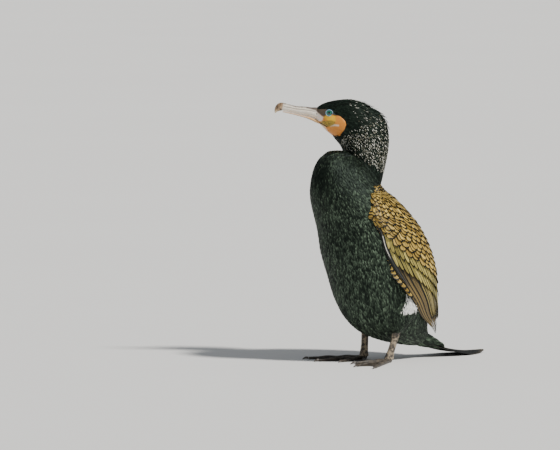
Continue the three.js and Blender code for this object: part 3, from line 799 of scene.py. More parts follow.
def distance_to(line, d, z):
    """Distance in profile from points to a chain of points, in mm."""
    best = np.full(np.shape(d), 1e9)
    for (d0, z0), (d1, z1) in zip(line[:-1], line[1:]):
        run = np.array([d1 - d0, z1 - z0])
        share = np.clip(((d - d0) * run[0] + (z - z0) * run[1]) / (run @ run), 0, 1)
        best = np.minimum(best, np.hypot(d - d0 - share * run[0], z - z0 - share * run[1]))
    return best


def near_eye(points):
    d, z, _ = in_profile(points)
    return np.hypot(d - EYE["d"], z - EYE["z"]) < EYE["bare"]


HEAD_FEATHERS = (
    ([0, 0.15, 0.45, 0.75, 1], [4, 6, 10, 13, 14]),
    ([0, 0.2, 0.5, 1], [0.55, 0.75, 1.05, 1.5]),
    ([0, 0.15, 0.5, 1], [0.7, 1.3, 2.1, 2.3]),
)


def head_coat():
    """The feathers of the head and of the upper neck, as two pieces."""

    def keep(t, degrees):
        points = to_metres(HEAD.point(t, degrees))
        return ~bare(points, 0.6) & ~near_eye(points) & (t > 0.012)

    spacing = ([0, 0.2, 0.5, 0.75, 1], [1.3, 1.65, 2.2, 2.7, 3.2])
    t, degrees = spread_roots(HEAD, 0.01, 0.97, spacing, 11, keep)
    for name, part in (("head_coat", t < 0.42), ("neck_coat", t >= 0.42)):
        sizes = sizes_at(t[part], *HEAD_FEATHERS)
        coat_piece(name, form_roots(HEAD, t[part], degrees[part]), sizes, HEAD_GREEN, 12)


# Where the white plumes stand in the head's profile: outline, and how many of the roots tried are kept
PLUMED = [
    (
        [(47, 398), (34, 408), (12, 412), (-14, 436), (-34, 415), (-42, 380), (-40, 334), (0, 350), (52, 384)],
        0.42,
    ),
    (
        [(46, 394), (30, 402), (-26, 402), (-42, 372), (-38, 337), (-19, 337), (4, 362), (30, 376), (52, 384)],
        0.68,
    ),
    ([(52, 470), (-5, 470), (-18, 442), (30, 440)], 0.16),
    ([(30, 440), (-10, 440), (-14, 410), (30, 410)], 0.12),
]


def filoplumes():
    """Fine white plumes on the sides of the head and the upper neck, thickest below the cheek."""
    rng = np.random.default_rng(51)
    t, degrees = spread_roots(HEAD, 0.2, 0.93, 2.3, 52, jitter=0.6)
    points = to_metres(HEAD.point(t, degrees))
    d, z, _ = in_profile(points)
    share = np.zeros(len(t))
    for outline, part in PLUMED:
        share = np.where(in_outline(outline, d, z), np.maximum(share, part), share)
    kept = (rng.random(len(t)) < share) & ~bare(points, -4)
    t, degrees = t[kept], degrees[kept]
    count = len(t)
    length, half = rng.uniform(3.0, 6.8, count), rng.uniform(0.24, 0.42, count)
    rise = np.interp(t, [0, 0.4, 1], [1.9, 2.5, 2.8])
    rooted = form_roots(HEAD, t, degrees)
    coat_piece("filoplumes", rooted, (length, half, rise), PLUME, 53, curl=0.1, stray=0.34)


def crest():
    """The loose crest: narrow plumes that lie back along the nape and lift off it at their tips."""
    rng = np.random.default_rng(55)
    count = 150
    t = rng.uniform(0.35, 0.6, count)
    degrees = 180 + rng.normal(0, 24, count)
    length = rng.uniform(15, 25, count) * np.interp(t, [0.36, 0.6], [1, 0.75])
    half, rise = rng.uniform(0.7, 1.15, count), rng.uniform(2.4, 8.0, count) * (1 - np.abs(degrees - 180) / 110)
    rooted, sizes = form_roots(HEAD, t, degrees), (length, half, rise)
    coat_piece("crest_plumes", rooted, sizes, HEAD_GREEN, 56, reach=0.01, stray=0.16)


def wing_place(points):
    """How far down a folded wing (u) and across it (v) points in metres lie."""
    local = to_mm(points)
    side, forward, height = np.abs(local[..., 0]), -local[..., 1], local[..., 2]
    u = np.linspace(0, 1, 101)
    centre, _, _, _, deep, wide = WING.frame(u)
    order = np.argsort(centre[:, 2])
    at = np.interp(height, centre[order, 2], u[order])
    middle, half, depth = -np.interp(at, u, centre[:, 1]), np.interp(at, u, wide), np.interp(at, u, deep)
    angle = np.degrees(np.arctan2(side / half, (forward - middle) / depth))
    lead, trail = through(LEADING, at), through(TRAILING, at)
    return np.where(height > centre[:, 2].max(), -1.0, at), (angle - lead) / (trail - lead)


# The breast's feathers cover the front of the shoulder: how far across the wing, and how far down it
SHOULDER = {"back": 0.37, "down": 0.155}


def wing_start(u):
    """Where across a wing its feathers start."""
    return SHOULDER["back"] * np.clip(1 - np.asarray(u, float) / SHOULDER["down"], 0, 1)


# How far in from a wing's edges the body has no feathers of its own
COVERED = {"front": 0.07, "back": 0.96, "top": 0.07, "bottom": 0.86}


def under_wing(points):
    """Whether points in metres lie well under a folded wing."""
    u, v = wing_place(points)
    across = (v > wing_start(u) + COVERED["front"]) & (v < COVERED["back"])
    return across & (u > COVERED["top"]) & (u < COVERED["bottom"])


# The rounded top of the folded neck: its middle, half-length, half-width and height in mm
CROP = {"forward": 82, "long": 24, "wide": 20, "height": 371.0}


def crop_roots(gap=2.5):
    """Roots over the top of the folded neck, where the feathers run forwards from the throat."""
    forward, side = np.meshgrid(np.arange(40, 104, gap), np.arange(-30, 31, gap), indexing="ij")
    side = side + gap / 2 * (np.arange(side.shape[0]) % 2)[:, None]
    forward, side = forward.ravel(), side.ravel()
    near = np.hypot((forward - CROP["forward"]) / CROP["long"], side / CROP["wide"]) < 1
    forward, side = forward[near], side[near]
    points = np.stack([side, -forward, np.full(len(side), CROP["height"])], -1)
    ways = np.tile([0.0, -1.0, -0.15], (len(side), 1))
    unwrap = np.stack([np.arctan2(side, forward - 84.5) / (2 * math.pi) % 1, np.zeros(len(side))], -1)
    return to_metres(points), ways, unwrap


# The bronze of the wings goes on above them, behind a line across the upper back, between two heights in mm
MANTLE = {"angle": 52, "front": -7, "low": 262, "high": 317}


def on_mantle(points):
    """Whether points in metres lie on the upper back."""
    local = to_mm(points)
    angle = math.radians(MANTLE["angle"])
    back = np.abs(local[..., 0]) * math.cos(angle) + local[..., 1] * math.sin(angle)
    return (back > MANTLE["front"]) & (local[..., 2] < MANTLE["high"]) & (local[..., 2] > MANTLE["low"])


BODY_FEATHERS = (
    ([0, 0.1, 0.3, 0.7, 1], [7, 10, 14, 18, 22]),
    ([0, 0.3, 0.7, 1], [1.1, 1.45, 1.8, 2.2]),
    ([0, 0.1, 0.3, 1], [1.3, 2.0, 2.5, 2.9]),
)


def torso_coats():
    """The feathers of the breast, the belly and the back."""

    def keep(t, degrees):
        points = to_metres(TORSO.point(t, degrees))
        return ~under_wing(points) & ~on_mantle(points)

    spacing = ([0, 0.25, 0.6, 1], [2.3, 2.75, 3.3, 4.0])
    t, degrees = spread_roots(TORSO, 0.0, 0.995, spacing, 21, keep)
    front = np.abs((degrees + 180) % 360 - 180) < 96
    pieces = {
        "breast_coat": front & (t < 0.3),
        "flank_coat": front & (t >= 0.3) & (t < 0.55),
        "belly_coat": front & (t >= 0.55),
        "back_coat": ~front,
    }
    for seed, (name, part) in enumerate(pieces.items()):
        at = t[part]
        roots, ways, unwrap = form_roots(TORSO, at, degrees[part])
        forwards = (1 - smooth(at, 0.03, 0.18))[:, None]
        ways = ways + forwards * np.array([0.0, -1.0, 0.0])
        ways = unit(ways)
        if name == "breast_coat":
            crop = crop_roots()
            roots, ways, unwrap = (np.concatenate(pair) for pair in zip(crop, (roots, ways, unwrap)))
            at = np.concatenate([np.zeros(len(crop[0])), at])
        sizes = sizes_at(at, *BODY_FEATHERS)
        coat_piece(name, (roots, ways, unwrap), sizes, GREEN, seed + 31)


def mantle():
    """Small bronze feathers on the upper back, above the wings."""
    t, degrees = spread_roots(TORSO, 0.02, 0.4, 5.4, 81, jitter=0.2)
    kept = on_mantle(to_metres(TORSO.point(t, degrees)))
    t, degrees = t[kept], degrees[kept]
    size = np.ones(len(t))
    sizes = (12.5 * size, 3.9 * size, 3.0 * size)
    rims = {"dusk": 0.0, "rim": 0.3, "tip": 0.2}
    rooted = form_roots(TORSO, t, degrees)
    coat_piece("mantle", rooted, sizes, BRONZE, 82, stray=0.1, values=rims)


THIGH_FEATHERS = (
    ([0, 0.6, 1], [20, 16, 10]),
    ([0, 0.6, 1], [1.9, 1.6, 1.1]),
    ([0, 0.8, 1], [2.8, 2.8, 1.8]),
)


def thigh_coats():
    for name, sign in (("left", 1), ("right", -1)):
        form = thigh(sign)

        def beside_wing(t, degrees):
            u, v = wing_place(to_metres(form.point(t, degrees)))
            return (v < 0.05) | (u > COVERED["bottom"])

        t, degrees = spread_roots(form, 0.0, 0.99, ([0, 1], [3.3, 2.3]), 31 + sign, beside_wing)
        sizes = sizes_at(t, *THIGH_FEATHERS)
        coat_piece("thigh_coat_" + name, form_roots(form, t, degrees), sizes, GREEN, 41 + sign)


head_coat()
filoplumes()
crest()
torso_coats()
mantle()
thigh_coats()


# Wings
def on_wing(sign, u, v, height):
    """Points of a wing in mm: u runs from the shoulder to the tips, v from the leading edge to the back. The
    wing's front and its top sink to the body, so that they come out from under its feathers."""
    u, v, height = np.broadcast_arrays(np.asarray(u, float), v, height)
    degrees = lerp(through(LEADING, u), through(TRAILING, u), lerp(wing_start(u), 1, v))
    front = 9 * np.clip(1 - (v + 0.05) / 0.13, 0, 1) ** 2 * smooth(0.62 - u, 0, 0.15)
    top = 5 * np.clip(1 - u / 0.07, 0, 1) ** 1.5
    thigh_lift = 5.5 * np.exp(-(((u - 0.71) / 0.1) ** 2)) * np.clip(1 - v / 0.5, 0, 1)
    height = height + thigh_lift - np.maximum(front, top)
    return WING.point(u, degrees if sign > 0 else 360 - degrees, height)


BIG_WIDTHS = {
    "scale": [0.5, 0.8, 0.95, 1.0, 1.0, 0.92, 0.5],
    "oblong": [0.5, 0.8, 0.95, 1.0, 1.0, 0.94, 0.5],
    "long": [0.5, 0.82, 0.96, 1.0, 1.0, 0.98, 0.92, 0.55],
    "quill": [0.6, 0.85, 0.95, 1.0, 1.0, 0.98, 0.9, 0.5],
}
FEATHER = ("u0", "v0", "half", "reach", "first", "rise", "slant")


def closed(upper, lower):
    """The upper and lower faces of flat vanes, row by row, as closed rings."""
    return np.concatenate([upper, lower[..., ::-1, :]], -2)


def vane_places(across, s, shape):
    """The vane's own coordinates at the points of its rings."""
    place = np.broadcast_to(np.stack(np.broadcast_arrays((across + 1) / 2, s), -1), shape[:3] + (2,))
    return closed(place, place)


def wing_vanes(sign, feathers, shape, rows, columns, seed):
    """Feathers of one kind: u0 and v0 of their roots, half-width and slant in v, reach in u, and their first
    height and rise in mm. Returns points (N, rows + 1, 2 (columns + 1), 3) in metres, the upper face's first,
    and the vane's coordinates."""
    rng = np.random.default_rng(seed)
    table = np.array([[feather[key] for key in FEATHER] for feather in feathers], float)
    u0, v0, half, reach, first, rise, slant = table.T[..., None, None]
    s = np.linspace(0, 1, rows + 1)
    s = (1 - (1 - s) ** 1.3)[None, :, None]
    across = np.linspace(-1, 1, columns + 1)[None, None, :]
    tip = np.clip((s - 0.75) / 0.25, 0, 1)
    width = half * through(BIG_WIDTHS[shape], s)
    v = v0 + width * across + (slant + rng.normal(0, 0.12, u0.shape) * half) * s
    u = u0 + reach * (s - 0.11 * across**2 * tip)
    twist = rng.normal(0, 0.14, u0.shape)
    bend = 0.3 * np.sin(np.pi * s) * rng.normal(0, 1, u0.shape) * half * 0.6
    v = v + bend * 0.5
    height = first + rise * s**0.9 - (0.5 + twist) * across - 0.4 * across**2 + rng.normal(0, 0.12, u0.shape)
    shaft = 0.3 * np.exp(-((across / 0.14) ** 2)) * (1 - 0.6 * s)
    thick = 0.5 * (1 - 0.45 * s)
    top = on_wing(sign, u, v, height + shaft)
    low = on_wing(sign, u, v, height - thick)
    return to_metres(closed(top, low)), vane_places(across, s, top.shape)


def flat_ends(rows, around):
    """The two end faces of a flat closed tube, as quads across it."""
    ends = []
    for start in (0, (rows - 1) * around):
        for k in range(around // 2 - 1):
            corners = (start + k, start + around - 1 - k, start + around - 2 - k, start + k + 1)
            ends.append(corners if start == 0 else corners[::-1])
    return ends


def vane_piece(name, grid, vane, material, seed, values, replaced=()):
    """Big feathers as one piece, each with a cell of its own in the bake map."""
    rng = np.random.default_rng(seed)
    count, rows, around = grid.shape[:3]
    ring = ring_faces(rows, around)[0] + flat_ends(rows, around)
    faces = (np.arange(count) * rows * around)[:, None, None] + np.array(ring)
    cells = int(np.ceil(np.sqrt(count)))
    corner = np.stack([np.arange(count) % cells, np.arange(count) // cells], -1)[:, None, None, :]
    inner = 0.04 + 0.92 * vane * np.array([0.49, 1.0])
    inner[:, :, around // 2 :, 0] += 0.47
    uvs = {"Vane": vane.reshape(-1, 2), "OFBake": ((corner + inner) / cells).reshape(-1, 2)}
    shown = {"tone": np.clip(rng.normal(0.5, 0.28, count), 0, 1), "white": 0.0, **values}
    mesh = build_mesh(
        name, grid.reshape(-1, 3), [faces.reshape(-1, 4)], uvs, per_point(shown, count, rows * around)
    )
    return add_piece(mesh, material, replaced, sharp=60)


BASE_DEPTHS = (-5.3, -7.2)  # of the layer under the quills, in mm


def wing_base(name, sign):
    """The hidden layer that the quills are rooted in, as a thin closed sheet."""
    u, share = np.linspace(0.05, 0.72, 30)[:, None], np.linspace(0, 1, 24)[None, :]
    u, v = np.broadcast_arrays(u, lerp(0.01, 0.99, share))
    grid = to_metres(closed(*(on_wing(sign, u, v, depth) for depth in BASE_DEPTHS)))[None]
    vane = np.full(grid.shape[:3] + (2,), 0.5)
    return vane_piece("wing_base_" + name, grid, vane, SKIN, 1, {}, ("wing_" + name,))


# The slanting line, from the leading edge to the back, where the coverts end: u at v from 0 to 1
COVERT_LINE = [0.275, 0.345, 0.41, 0.475, 0.53, 0.585, 0.62, 0.645, 0.66, 0.665, 0.67]


def covert_line(v):
    return np.interp(v, np.linspace(0, 1, len(COVERT_LINE)), COVERT_LINE)


def coverts(rows=16):
    """The scaly field from the shoulder to the slanting line: small scales at the front and the top, longer
    feathers towards the line and the back."""
    rng = np.random.default_rng(91)
    made = []
    for row in range(rows):
        share = ((row + 1) / rows) ** 1.1
        before = (row / rows) ** 1.1
        v = -0.035 + 0.03 * (row % 2) + 0.07 * max(0.0, 1 - share / 0.45)
        while v < 1.0:
            pitch = np.interp(v, [0, 0.5, 1], [0.054, 0.062, 0.08]) * np.interp(share, [0, 1], [0.9, 1.05])
            line = float(covert_line(v))
            tip = line * share + rng.normal(0, 0.006)
            reach = min(2.9 * line * (share - before) + 0.012, tip + 0.02)
            place = {"u0": tip - reach, "v0": v + rng.normal(0, 0.1) * pitch, "reach": reach}
            made.append({**place, "half": 0.62 * pitch, "first": -6.0, "rise": 5.4, "slant": 0})
            v += pitch
    return made


def tier(count, low, high, tip, reach, half, first, rise):
    """One row of feathers from v low to high. Their tips lie at tip(v)."""
    sizes = {"half": half, "reach": reach, "first": first, "rise": rise, "slant": 0}
    return [{"u0": tip(v) - reach, "v0": v, **sizes} for v in np.linspace(low, high, count)]


def barred(count=9):
    """Small bronze feathers that show under the leading edge, below its long quill."""
    sizes = {"half": 0.032, "reach": 0.07, "first": -4.6, "rise": 4.6, "slant": 0}
    return [{"u0": u, "v0": 0.1 * u - 0.085, **sizes} for u in np.linspace(0.4, 0.64, count)]


def wing_sets():
    """Each kind of feather: the feathers, their outline, rows and columns, how brown they are, and how wide the
    dark rim is at the sides and at the tip."""

    def table(places, ends):
        return lambda v: float(np.interp(v, places, ends))

    def past_coverts(more):
        return lambda v: float(covert_line(v)) + more

    greater, lower = past_coverts(0.095), past_coverts(0.2)
    third_tip = table([0.5, 0.62, 0.97], [0.85, 0.88, 0.92])
    second_tip = table([0.25, 0.5, 0.62], [0.88, 0.85, 0.82])
    primary_tip = table([0, 0.05, 0.2, 0.3, 0.42], [0.95, 0.985, 0.98, 0.965, 0.92])
    seconds = tier(13, 0.24, 0.62, second_tip, 0.42, 0.034, -5.7, 2.8)
    return {
        "coverts": (coverts(), "scale", 9, 6, 0.0, 0.26, 0.12),
        "greater": (tier(19, 0.02, 0.68, greater, 0.2, 0.025, -6.0, 4.4), "oblong", 10, 6, 0.42, 0.36, 0.07),
        "outer_greater": (tier(17, 0.04, 0.64, lower, 0.26, 0.026, -6.0, 3.6), "long", 12, 6, 0.55, 0.42, 0.04),
        "tertials": (tier(8, 0.56, 0.95, third_tip, 0.38, 0.056, -5.8, 4.0), "long", 14, 6, 0.42, 0.28, 0.04),
        "secondaries": (seconds, "long", 14, 6, 0.8, 0.42, 0.04),
        "primaries": (tier(10, 0.02, 0.4, primary_tip, 0.56, 0.046, -5.7, 2.0), "quill", 18, 6, 1.0, 0.4, 0.05),
        "barred": (barred(), "scale", 8, 6, 0.0, 0.3, 0.2),
    }


def edge_quill(name, sign):
    """The outermost primary, seen along the wing's leading edge: black with a white shaft."""
    feather = {"u0": 0.22, "v0": -0.02, "half": 0.021, "reach": 0.42, "first": -1.2, "rise": 1.0, "slant": 0.05}
    grid, vane = wing_vanes(sign, [feather], "quill", 24, 8, 300 + sign)
    vane_piece("edge_quill_" + name, grid, vane, BLACK, 301, {"shaft": 1.0})


def black_feathers():
    """Tail feathers: black with a faint gloss and a pale shaft."""
    nodes = new_material("tail_feathers", 0.5, Specular_IOR_Level=0.18)
    across, along = nodes.uv()
    side = nodes.off_shaft(across)
    lines = barbs(nodes, across, along, 90, 0.5)
    colour = nodes.mix(nodes.value("tone"), (0.006, 0.007, 0.007), (0.02, 0.021, 0.02))
    colour = nodes.mix(nodes.times(lines, 0.3), colour, (0.04, 0.042, 0.04))
    wear = nodes.times(nodes.ramp(along, 0.86, 1.0), nodes.noise(180.0))
    colour = nodes.mix(wear, colour, (0.07, 0.06, 0.045))
    pale = nodes.mix(nodes.value("shaft"), (0.28, 0.2, 0.12), (0.85, 0.82, 0.74))
    reach = nodes.plus(0.035, nodes.times(nodes.value("shaft"), 0.06))
    streak = nodes.ramp(nodes.minus(reach, side), 0.0, 0.02)
    bright = nodes.times(nodes.ramp(along, 0.12, 0.16), nodes.ramp(along, 0.55, 0.42))
    faint = nodes.times(nodes.value("shaft"), nodes.minus(1.0, bright))
    streak = nodes.times(streak, nodes.minus(0.9, nodes.times(faint, 0.85)))
    colour = nodes.mix(streak, colour, pale)
    return nodes.finish(colour, lines, 0.3, 0.0003)


BLACK = black_feathers()


def wing_pieces(name, sign):
    wing_base(name, sign)
    for k, (kind, (feathers, shape, rows, columns, dusk, rim, tip)) in enumerate(wing_sets().items()):
        grid, vane = wing_vanes(sign, feathers, shape, rows, columns, 100 + 10 * k + sign)
        values = {"dusk": dusk, "rim": rim, "tip": tip}
        vane_piece(f"{kind}_{name}", grid, vane, BRONZE, 200 + k, values)
    edge_quill(name, sign)


for side_name, side_sign in (("left", 1), ("right", -1)):
    wing_pieces(side_name, side_sign)


# Tail
def tail_low(s):
    return 30 * np.maximum(0, 1 - s / 0.84) ** 1.9


def make_tail():
    pairs = 7
    rng = np.random.default_rng(61)
    s = np.linspace(0, 1, 19)[None, :, None]
    across = np.linspace(-1, 1, 9)[None, None, :]
    pair = np.repeat(np.arange(pairs), 2)[:, None, None].astype(float)
    sign = np.tile([1, -1], pairs)[:, None, None]
    top = (pairs - 1 - pair) * 0.68 + 0.34 * (sign > 0)
    length = TAIL_LENGTH * (1 - 0.28 * (pair / (pairs - 1)) ** 1.6)
    along = s * length / TAIL_LENGTH
    middle = sign * (pair * 0.72 + 0.42) * lerp(2.6, 6.2, np.sqrt(along))
    half = 7.6 * through([0.42, 0.66, 0.84, 0.95, 1.0, 1.0, 0.86, 0.2], s) * lerp(1, 0.9, pair / pairs)
    low = tail_low(along) + top - 0.35 * across**2 + 0.35 + rng.normal(0, 0.05, pair.shape)
    shaft = 0.5 * np.exp(-((across / 0.12) ** 2)) * (1 - 0.6 * s)
    x = np.broadcast_to(middle + half * across, low.shape)
    y = np.broadcast_to(-TAIL_START + along * TAIL_LENGTH, low.shape)
    upper, lower = (np.stack([x, y, height], -1) for height in (low + 0.5 + shaft, low))
    grid, vane = to_metres(closed(upper, lower)), vane_places(across, s, upper.shape)
    vane_piece("tail_feathers", grid, vane, BLACK, 62, {"shaft": 0.0}, ("tail",))
    return loft_piece("rump", RUMP, 24, 32, SKIN, grow=-1.5)


RUMP_PIECE = make_tail()


def tail_coverts():
    tree = tree_of(RUMP_PIECE)
    t, degrees = spread_roots(RUMP, 0.0, 0.98, 4.4, 71)
    sizes = sizes_at(t, ([0, 1], [28, 34]), ([0, 1], [3.2, 3.0]), ([0, 1], [2.6, 2.6]))
    coat_piece("tail_coverts", form_roots(RUMP, t, degrees), sizes, GREEN, 72, tree)


tail_coverts()


# Bare skin, bill and eyes
BILL_GROOVE = [(147, 446.2), (138, 444.6), (127, 442.2), (111, 440.8), (100, 439.2), (92, 437)]


def face_material():
    """Bare facial skin: dark lores, yellow under the eye, mottled olive at the gape, orange on the cheek, and
    the pale horn of the bill's roots."""
    blood = {"Subsurface_Weight": 0.05, "Subsurface_Radius": (0.002, 0.001, 0.0005)}
    nodes = new_material("face_skin", 0.42, Specular_IOR_Level=0.4, **blood)
    grain = nodes.noise(900.0, 3.0, 0.6)
    blotch = nodes.noise(260.0, 4.0, 0.6)
    flecks = nodes.ramp(nodes.noise(560.0, 2.0, 0.5), 0.5, 0.6)
    orange = nodes.mix(blotch, (0.55, 0.16, 0.012), (0.8, 0.33, 0.045))
    yellow = nodes.mix(blotch, (0.8, 0.4, 0.005), (0.95, 0.6, 0.02))
    olive = nodes.mix(flecks, (0.42, 0.27, 0.02), (0.07, 0.055, 0.012))
    pale = nodes.mix(blotch, (0.72, 0.55, 0.36), (0.85, 0.75, 0.58))
    horn = nodes.mix(blotch, (0.72, 0.58, 0.48), (0.9, 0.85, 0.79))
    jaw = nodes.mix(blotch, (0.66, 0.45, 0.3), (0.85, 0.7, 0.56))
    dark = nodes.mix(blotch, (0.03, 0.024, 0.018), (0.12, 0.09, 0.06))
    brow = nodes.mix(blotch, (0.006, 0.007, 0.007), (0.02, 0.02, 0.018))
    colour = orange
    for label, tint in zip(FACE_MARKS, (yellow, olive, pale, horn, jaw, dark, brow)):
        colour = nodes.mix(nodes.value(label), colour, tint)
    colour = nodes.mix(nodes.times(nodes.ramp(grain, 0.55, 0.75), 0.3), colour, (0.14, 0.07, 0.02))
    colour = nodes.mix(nodes.value("mouth"), colour, (0.02, 0.012, 0.006))
    return nodes.finish(colour, grain, 0.35, 0.0006)


# Parts of the face in profile: outline, and how far its edge fades in mm. The later lie over the earlier.
FACE_MARKS = {
    "yellow": ([(76, 433.5), (78, 428), (70, 421.5), (58, 421.5), (58, 433), (66, 431)], 2.2),
    "olive": ([(59, 421), (66, 423.2), (83, 421.5), (85, 415.5), (75, 411), (59, 413.5)], 1.6),
    "pale": ([(67, 412.3), (60, 416.2), (52, 415.6), (52, 413), (60, 413.2)], 1.2),
    "horn": ([(104, 444), (93, 442), (79.5, 428.5), (80.5, 424), (83, 421), (92, 421.5), (104, 425)], 1.5),
    "jaw": ([(104, 422), (92, 419.5), (76, 411.5), (72, 404), (84, 408), (104, 418)], 1.8),
    "lores": ([(73, 450), (104, 450), (104, 443.2), (94, 440), (82, 430.5), (77, 430), (73.5, 433)], 1.6),
    "brow": ([(75, 452), (50, 452), (50, 431), (61, 431.5), (64, 434), (68.9, 437), (74, 440)], 1.4),
}


def soft_outline(outline, fade, d, z):
    """1 inside an outline, 0 well outside it, with a soft edge."""
    edge = distance_to(outline + outline[:1], d, z)
    signed = np.where(in_outline(outline, d, z), edge, -edge)
    return smooth(signed, -fade, fade)


def face_points(points):
    """The face's surface: the line of the mouth sunk in, fine folds of the pouch, and a rim round the eye."""
    d, z, side = in_profile(points)
    out = HEAD_LEFT * np.sign(side)[:, None]
    mouth = distance_to(MOUTH, d, z)
    sink = -1.5 * np.exp(-((mouth / 0.9) ** 2)) + 0.5 * np.exp(-(((mouth - 2.2) / 1.0) ** 2))
    folds = 0.22 * np.sin((z * 0.75 - d * 0.35) * 1.9 + 0.8 * np.sin(d * 0.21)) * smooth(414 - z, 0, 6)
    eye = np.hypot(d - EYE["d"], z - EYE["z"])
    rim = 0.7 * np.exp(-(((eye - 7.4) / 1.4) ** 2)) - 1.3 * smooth(6.4 - eye, 0, 2)
    thick = smooth(np.abs(side), 1, 6)
    front = -1.5 * smooth(d, 84, 92)
    return points + out * ((sink + folds + rim + front) * thick * MM)[:, None]


def make_face():
    """The bare skin of the face and pouch: the head's own surface inside the edge of the feathering."""
    verts, faces = HEAD.tube(230, 150, 0.1)
    points = to_metres(verts)
    d, z, side = in_profile(points)
    inside = in_outline(FACE_EDGE, d, z)
    edge = distance_to(FACE_EDGE[:-1], d, z)
    signed = np.where(inside, edge, -edge)
    keep = signed > -2.2
    # The skin sinks under the feathers past its edge
    centre = HEAD.frame(0.16)[0]
    inward = to_metres(centre)[None, :] - points
    inward = unit(inward)
    feathered = distance_to(FEATHER_EDGE, d, z) * ~in_outline(FEATHER_EDGE, d, z)
    under = smooth(np.maximum(feathered, -signed), -0.6, 2.0)
    moved = face_points(points) + inward * (under * 2.2 * MM)[:, None]
    good = [f for f in faces if all(keep[k] for k in f)]
    used = np.unique(np.concatenate([np.array(f) for f in good]))
    index = np.full(len(points), -1)
    index[used] = np.arange(len(used))
    outer, inner = moved[used], moved[used] + inward[used] * 1.2 * MM
    count = len(used)
    new = [tuple(index[k] for k in f) for f in good]
    edges = {}
    for f in new:
        for a, b in zip(f, f[1:] + f[:1]):
            edges[(a, b)] = True
    rim = [(b, a, a + count, b + count) for a, b in edges if (b, a) not in edges]
    all_faces = by_corners(new + [tuple(k + count for k in reversed(f)) for f in new] + rim)
    marks = {label: soft_outline(outline, fade, d, z) for label, (outline, fade) in FACE_MARKS.items()}
    marks["mouth"] = np.exp(-((distance_to(MOUTH, d, z) / 0.75) ** 2))
    values = {label: np.tile(mark[used], 2) for label, mark in marks.items()}
    mesh = build_mesh("face_skin", np.concatenate([outer, inner]), all_faces, {}, values)
    return add_piece(mesh, face_material(), ("face",))


make_face()


def bill_material(name, lower=False):
    """Horn: pinkish grey sides, a dark mottled ridge, a brown nail at the tip, and fine streaks along it."""
    nodes = new_material(name, 0.33, Specular_IOR_Level=0.5)
    streaks = nodes.add("ShaderNodeMapping", {"Vector": nodes.place(), "Scale": (1.0, 1.0, 6.0)})
    streak = nodes.noise(260.0, 5.0, 0.65, streaks.outputs["Vector"])
    blotch = nodes.noise(170.0, 4.0, 0.6)
    if lower:
        colour = nodes.mix(blotch, (0.56, 0.36, 0.22), (0.78, 0.6, 0.44))
        colour = nodes.mix(nodes.value("root"), colour, (0.68, 0.4, 0.16))
    else:
        colour = nodes.mix(blotch, (0.74, 0.63, 0.48), (0.95, 0.92, 0.84))
    colour = nodes.mix(nodes.times(nodes.ramp(streak, 0.5, 0.66), 0.5), colour, (0.42, 0.27, 0.17))
    dark = nodes.mix(blotch, (0.045, 0.035, 0.03), (0.16, 0.125, 0.1))
    mottle = nodes.ramp(nodes.noise(420.0, 3.0, 0.7), 0.4, 0.6)
    ridge = nodes.times(nodes.value("ridge"), nodes.plus(0.55, nodes.times(mottle, 0.45)))
    colour = nodes.mix(ridge, colour, dark)
    colour = nodes.mix(nodes.value("lores"), colour, dark)
    nail = nodes.mix(nodes.ramp(blotch, 0.35, 0.65), (0.06, 0.035, 0.02), (0.42, 0.28, 0.16))
    nail = nodes.mix(nodes.value("point"), nail, (0.7, 0.56, 0.36))
    colour = nodes.mix(nodes.value("nail"), colour, nail)
    colour = nodes.mix(nodes.times(nodes.value("groove"), 0.75), colour, (0.08, 0.06, 0.05))
    return nodes.finish(colour, streak, 0.25, 0.0006)


BILL_LORES = [(104, 450), (112, 450), (108, 443.8), (94, 440), (80, 430), (80, 450)]


def bill_piece(name, form, material, replaced, rows, around):
    is_lower = name == "bill_below"
    verts, faces = form.tube(rows, around)
    points = to_metres(verts)
    d, z, side = in_profile(points)
    out = HEAD_LEFT * np.sign(side)[:, None]
    groove = np.exp(-((distance_to(BILL_GROOVE, d, z) / 0.8) ** 2)) * smooth(d, 90, 96)
    groove = groove * smooth(np.abs(side), 0.6, 2.4)
    nail_seam = np.exp(-(((d - 148.5 + 0.25 * (z - 446)) / 0.9) ** 2)) * smooth(z, 439, 443)
    flakes = 0.1 * np.sin(d * 1.7 + 2 * np.sin(z * 0.9)) * np.sin(z * 2.1 + d * 0.3)
    if is_lower:
        groove, nail_seam = 0 * d, 0 * d
    push = flakes - 0.9 * groove - 0.4 * nail_seam
    points = points + out * (push * smooth(np.abs(side), 0.3, 1.5) * MM)[:, None]
    top = np.interp(d, [86, 100, 127, 138, 149.5, 156.5], [444.5, 445, 447.4, 450, 453, 452.2])
    values = {
        "ridge": smooth(z - top, -3.4, -1.0) * (not is_lower),
        "nail": smooth(d - 149 + 0.25 * (z - 446), -1.5, 2.5) * (0.35 if is_lower else 1.0),
        "point": smooth(441 - z, 0, 4) * (d > 150),
        "groove": groove,
        "root": smooth(118 - d, 0, 22),
        "lores": soft_outline(BILL_LORES, 1.8, d, z),
    }
    return add_piece(build_mesh(name, points, by_corners(faces), {}, values), material, (replaced,))


HORN, LOWER_HORN = bill_material("bill_horn"), bill_material("bill_lower", True)
bill_piece("bill_above", UPPER_BILL, HORN, "bill_upper", 150, 56)
bill_piece("bill_below", LOWER_BILL, LOWER_HORN, "bill_lower", 110, 40)


